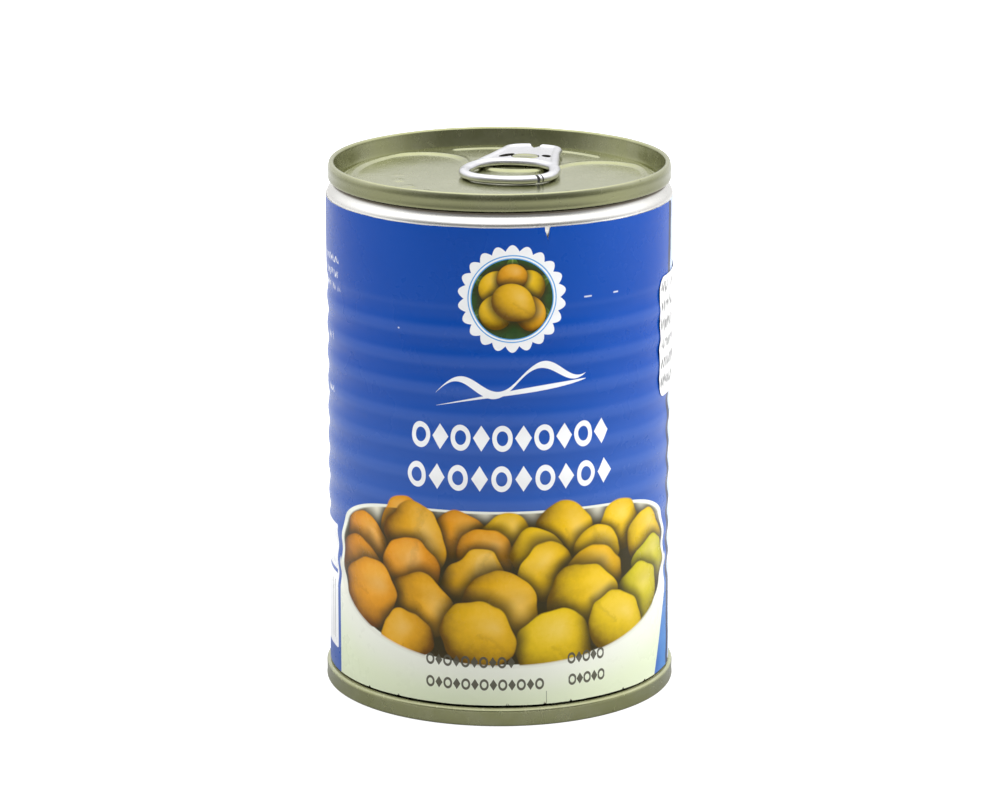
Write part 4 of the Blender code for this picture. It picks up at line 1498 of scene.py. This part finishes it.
def fieldMaterial():
    made, tree, shader = newMaterial("labelField")
    point = printPoint(tree)
    colour = fieldColour(tree, point)
    backPanel = boxMask(tree, point, panels["back"], 2.0)
    colour = blendColour(tree, backPanel, colour, printColours["white"])
    line = boxMask(tree, point, panels["backLine"], 0.1)
    colour = blendColour(tree, line, colour, printColours["blue"])
    rows = rowsMask(tree, point, panels["backRows"], 3.4, 1.1, 0.62, 0.17, 0.6)
    colour = blendColour(tree, times(tree, rows, 0.8), colour, printColours["ink"])
    for box, pitch in panels["sideRows"]:
        rows = rowsMask(tree, point, box, pitch, 1.2, 0.75, 0.15, 0.6)
        colour = blendColour(tree, times(tree, rows, 0.75), colour, printColours["white"])
    colour = badgeColour(tree, point, colour)
    mark = swashMask(tree, point, 0.6, swash["wave"], swash["thick"], 11.5)
    colour = blendColour(tree, mark, colour, printColours["white"])
    mark = swashMask(tree, point, -2.2, 0.5, 0.5, 4.0)
    colour = blendColour(tree, mark, colour, printColours["white"])
    for row in ornament["rows"]:
        colour = blendColour(tree, ornamentMask(tree, point, *row), colour, printColours["white"])
    for box in panels["scrapes"]:
        scrape = boxMask(tree, point, box, 0.15, 0.12)
        colour = blendColour(tree, times(tree, scrape, 0.75), colour, printColours["white"])
    finishLabel(tree, shader, colour)
    return made


def paperMaterial():
    made, tree, shader = newMaterial("paperEdge")
    point = mmPoint(tree)
    marks = useGroup(tree, scuffs, Point=point, Line_Amount=0.3, Smudge_Scale=0.5)
    colour = blendColour(tree, marks["Smudges"], (0.62, 0.62, 0.6, 1.0), (0.8, 0.8, 0.78, 1.0))
    finishSurface(tree, shader, colour, 0.75, marks["Grain"], 0.4, 0.04)
    return made


def makeLabel():
    arc, height, radius = labelShape()
    points, faces, frontCount = sheetShell(arc, height, radius, wrap["thickness"])
    piece = buildMesh("label", points, faces, [fieldMaterial(), pictureMaterial(), paperMaterial()], 40.0)
    columns = arc.shape[1]
    slots = np.full(len(faces), 2)
    middleArc = (arc[:-1, :-1] + arc[1:, 1:]) / 2.0
    middleHeight = (height[:-1, :-1] + height[1:, 1:]) / 2.0
    picture = (np.abs(middleArc) < ground["pictureHalf"]) & (middleHeight < ground["pictureTop"])
    slots[:frontCount] = picture.ravel().astype(int)
    piece.data.polygons.foreach_set("material_index", slots)
    sheetUv(piece, arc, height)
    # The lifted outer end of the sheet gets the painted shadow of the overlap: its print place moves into
    # the dark band.
    ends = np.zeros(len(faces), bool)
    ends[:frontCount] = (np.arange(frontCount) % (columns - 1)) >= columns - 4
    place = np.zeros(len(piece.data.loops) * 2, np.float32)
    layer = piece.data.uv_layers["printPlace"]
    layer.data.foreach_get("uv", place)
    place = place.reshape(-1, 2)
    place[np.repeat(ends, 4), 0] = ground["overlapPlace"]
    layer.data.foreach_set("uv", place.ravel())
    piece.name = "wrappedLabel"
    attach(piece, "root")
    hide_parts("label")


makeLabel()
print("label made")


# Sticker: white paper patch over the label's overlap, with small dark print

patch = {
    "start": math.radians(66.0),
    "span": math.radians(64.0),
    "bottom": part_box("sticker")[0].z / mm,
    "top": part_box("sticker")[1].z / mm,
    "radius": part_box("label")[1].x / mm + 0.16,
    "thickness": 0.07,
    "corner": 2.0,
    "columns": 90,
    "rows": 50,
}


def stickerMaterial():
    made, tree, shader = newMaterial("stickerPaper")
    point = printPoint(tree)
    left = patch["start"] * wrap["radius"]
    right = left + patch["span"] * wrap["radius"]
    low, high = patch["bottom"], patch["top"]
    fibre = useGroup(tree, scuffs, Point=mmPoint(tree), Line_Scale=0.5, Line_Amount=0.35, Smudge_Scale=0.25)
    colour = blendColour(tree, fibre["Smudges"], (0.8, 0.8, 0.79, 1.0), (0.88, 0.88, 0.88, 1.0))
    box = (left + 0.6, right - 2.0, low + 1.0, high - 1.2)
    rows = rowsMask(tree, point, box, 4.1, 1.2, 1.0, 0.28, 0.62)
    colour = blendColour(tree, times(tree, rows, 0.85), colour, (0.05, 0.05, 0.055, 1.0))
    rough = calc(tree, "MULTIPLY_ADD", fibre["Smudges"], 0.2, 0.42)
    finishSurface(tree, shader, colour, rough, fibre["Grain"], 0.35, 0.04)
    return made


def makeSticker():
    left = patch["start"] * wrap["radius"]
    width = patch["span"] * wrap["radius"]
    part = np.linspace(0.0, 1.0, patch["columns"] + 1)
    part = part - 0.035 * np.sin(part * fullTurn)
    inset = np.minimum(part, 1.0 - part) * width
    corner = patch["corner"]
    curve = corner - np.sqrt(np.maximum(corner ** 2 - (corner - inset) ** 2, 0.0))
    short = np.where(inset < corner, curve, 0.0)
    low, high = patch["bottom"] + short, patch["top"] - short
    rows = np.linspace(0.0, 1.0, patch["rows"] + 1)
    height = low[None, :] + (high - low)[None, :] * rows[:, None]
    arc = np.repeat((left + width * part)[None, :], len(rows), axis=0)
    arc = arc + (1.0 - part)[None, :] * 0.25 * waves(height, 41, 5, 14.0)
    edge = np.minimum(np.minimum(inset[None, :], height - patch["bottom"]), patch["top"] - height)
    radius = patch["radius"] - 0.5 * wrap["bead"] * beadShare(height)
    radius = radius + 0.09 * smoothStep(1.4, 0.0, edge) * (0.5 + 0.5 * waves(arc + height, 42, 4, 18.0))
    radius = radius + 0.02 * waves(arc, 43, 5, 17.0) * waves(height, 44, 4, 15.0)
    points, faces, _ = sheetShell(arc, height, radius, patch["thickness"])
    piece = buildMesh("sidePatch", points, faces, [stickerMaterial()], 40.0)
    sheetUv(piece, arc, height)
    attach(piece, "root")
    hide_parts("sticker")


makeSticker()
print("sticker made")


# Floor, light tent and camera

stage = {
    "floorSize": 4.0,
    "cameraFar": 0.89473,
    "cameraRise": math.radians(14.70),
    "aimHeight": 0.06061,
    "lens": 151.08,
    "sensor": 36.0,
    "shift": 0.0005,
    "tentOpening": (0.0, -0.98, 0.2),
    "tentDark": 0.8,
    "tentGlow": (0.86, 1.9),
    "tentSeen": 1.1,
    "lampAim": (0.0, 0.0, 0.06),
}

# Place and size in m, and power in W.
lightBoxes = {
    "leftBox": ((-0.75, -0.12, 0.42), (0.5, 0.9), 1.5),
    "rightBox": ((0.75, -0.12, 0.42), (0.5, 0.9), 4.6),
    "topBox": ((0.0, 0.1, 0.95), (0.9, 0.9), 2.5),
}


def makeFloor():
    half = stage["floorSize"] / 2.0 / mm
    steps = 24
    line = np.linspace(-half, half, steps + 1)
    x, y = np.meshgrid(line, line)
    points = np.stack([x.ravel(), y.ravel(), np.zeros(x.size)], axis=1)
    faces = []
    for row in range(steps):
        for column in range(steps):
            a = row * (steps + 1) + column
            faces.append((a, a + 1, a + steps + 2, a + steps + 1))
    made, tree, shader = newMaterial("paleFloor")
    spot = mmPoint(tree)
    shade = noise(tree, spot, 0.002, 2.0)
    colour = blendColour(tree, shade, (0.66, 0.66, 0.66, 1.0), (0.7, 0.7, 0.695, 1.0))
    # Painted shade on the floor: darker in front of the can, and a painted contact shadow round its foot.
    inFront = ramp(tree, splitAxes(tree, spot)["Y"], -280.0, -500.0)
    colour = blendColour(tree, inFront, colour, (0.5, 0.5, 0.5, 1.0))
    near = ramp(tree, vector(tree, "LENGTH", spot), 110.0, 38.0, 0.0, 0.8)
    colour = blendColour(tree, near, colour, (0.3, 0.3, 0.3, 1.0))
    tree.links.new(colour, shader.inputs["Base Color"])
    shader.inputs["Roughness"].default_value = 0.8
    shader.inputs["Specular IOR Level"].default_value = 0.1
    shader.inputs["Emission Color"].default_value = white
    seen = put(tree, "ShaderNodeLightPath").outputs["Is Camera Ray"]
    tree.links.new(times(tree, seen, 0.8), shader.inputs["Emission Strength"])
    floor = buildMesh("floor", points, faces, [made])


def makeWorld():
    # A white tent that is open, and so darker, towards the camera.
    world = bpy.data.worlds.new("tent")
    bpy.context.scene.world = world
    world.use_nodes = True
    tree = world.node_tree
    ground = tree.nodes["Background"]
    towards = put(tree, "ShaderNodeTexCoord").outputs["Generated"]
    front = vector(tree, "DOT_PRODUCT", vector(tree, "NORMALIZE", towards), stage["tentOpening"])
    dark = ramp(tree, front, -0.25, 0.85, 0.0, stage["tentDark"])
    high = splitAxes(tree, towards)["Z"]
    tent = minus(tree, 1.0, times(tree, dark, ramp(tree, high, 0.9, 0.6)))
    strength = times(tree, tent, ramp(tree, high, 0.1, 0.95, *stage["tentGlow"]))
    camera = put(tree, "ShaderNodeLightPath").outputs["Is Camera Ray"]
    strength = calc(tree, "MAXIMUM", strength, times(tree, camera, stage["tentSeen"]))
    ground.inputs["Color"].default_value = white
    tree.links.new(strength, ground.inputs["Strength"])


def makeLight(name, place, size, power):
    light = bpy.data.lights.new(name, "AREA")
    light.shape = "RECTANGLE"
    light.size, light.size_y = size
    light.energy = power
    lamp = bpy.data.objects.new(name, light)
    bpy.context.scene.collection.objects.link(lamp)
    lamp.location = place
    lamp.visible_glossy = False
    lamp.rotation_mode = "QUATERNION"
    aim = Vector(stage["lampAim"]) - Vector(place)
    lamp.rotation_quaternion = aim.to_track_quat("-Z", "Y")


def makeCamera():
    camera = bpy.data.cameras.new("photoCamera")
    camera.lens, camera.sensor_width = stage["lens"], stage["sensor"]
    camera.shift_x = stage["shift"]
    camera.clip_start, camera.clip_end = 0.05, 20.0
    holder = bpy.data.objects.new("photoCamera", camera)
    bpy.context.scene.collection.objects.link(holder)
    far, rise = stage["cameraFar"], stage["cameraRise"]
    holder.location = (0.0, -far * math.cos(rise), stage["aimHeight"] + far * math.sin(rise))
    holder.rotation_euler = (math.pi / 2.0 - rise, 0.0, 0.0)
    bpy.context.scene.camera = holder


makeFloor()
makeWorld()
for lightName, lightSetting in lightBoxes.items():
    makeLight(lightName, *lightSetting)
makeCamera()
bpy.context.scene.view_settings.view_transform = "Standard"
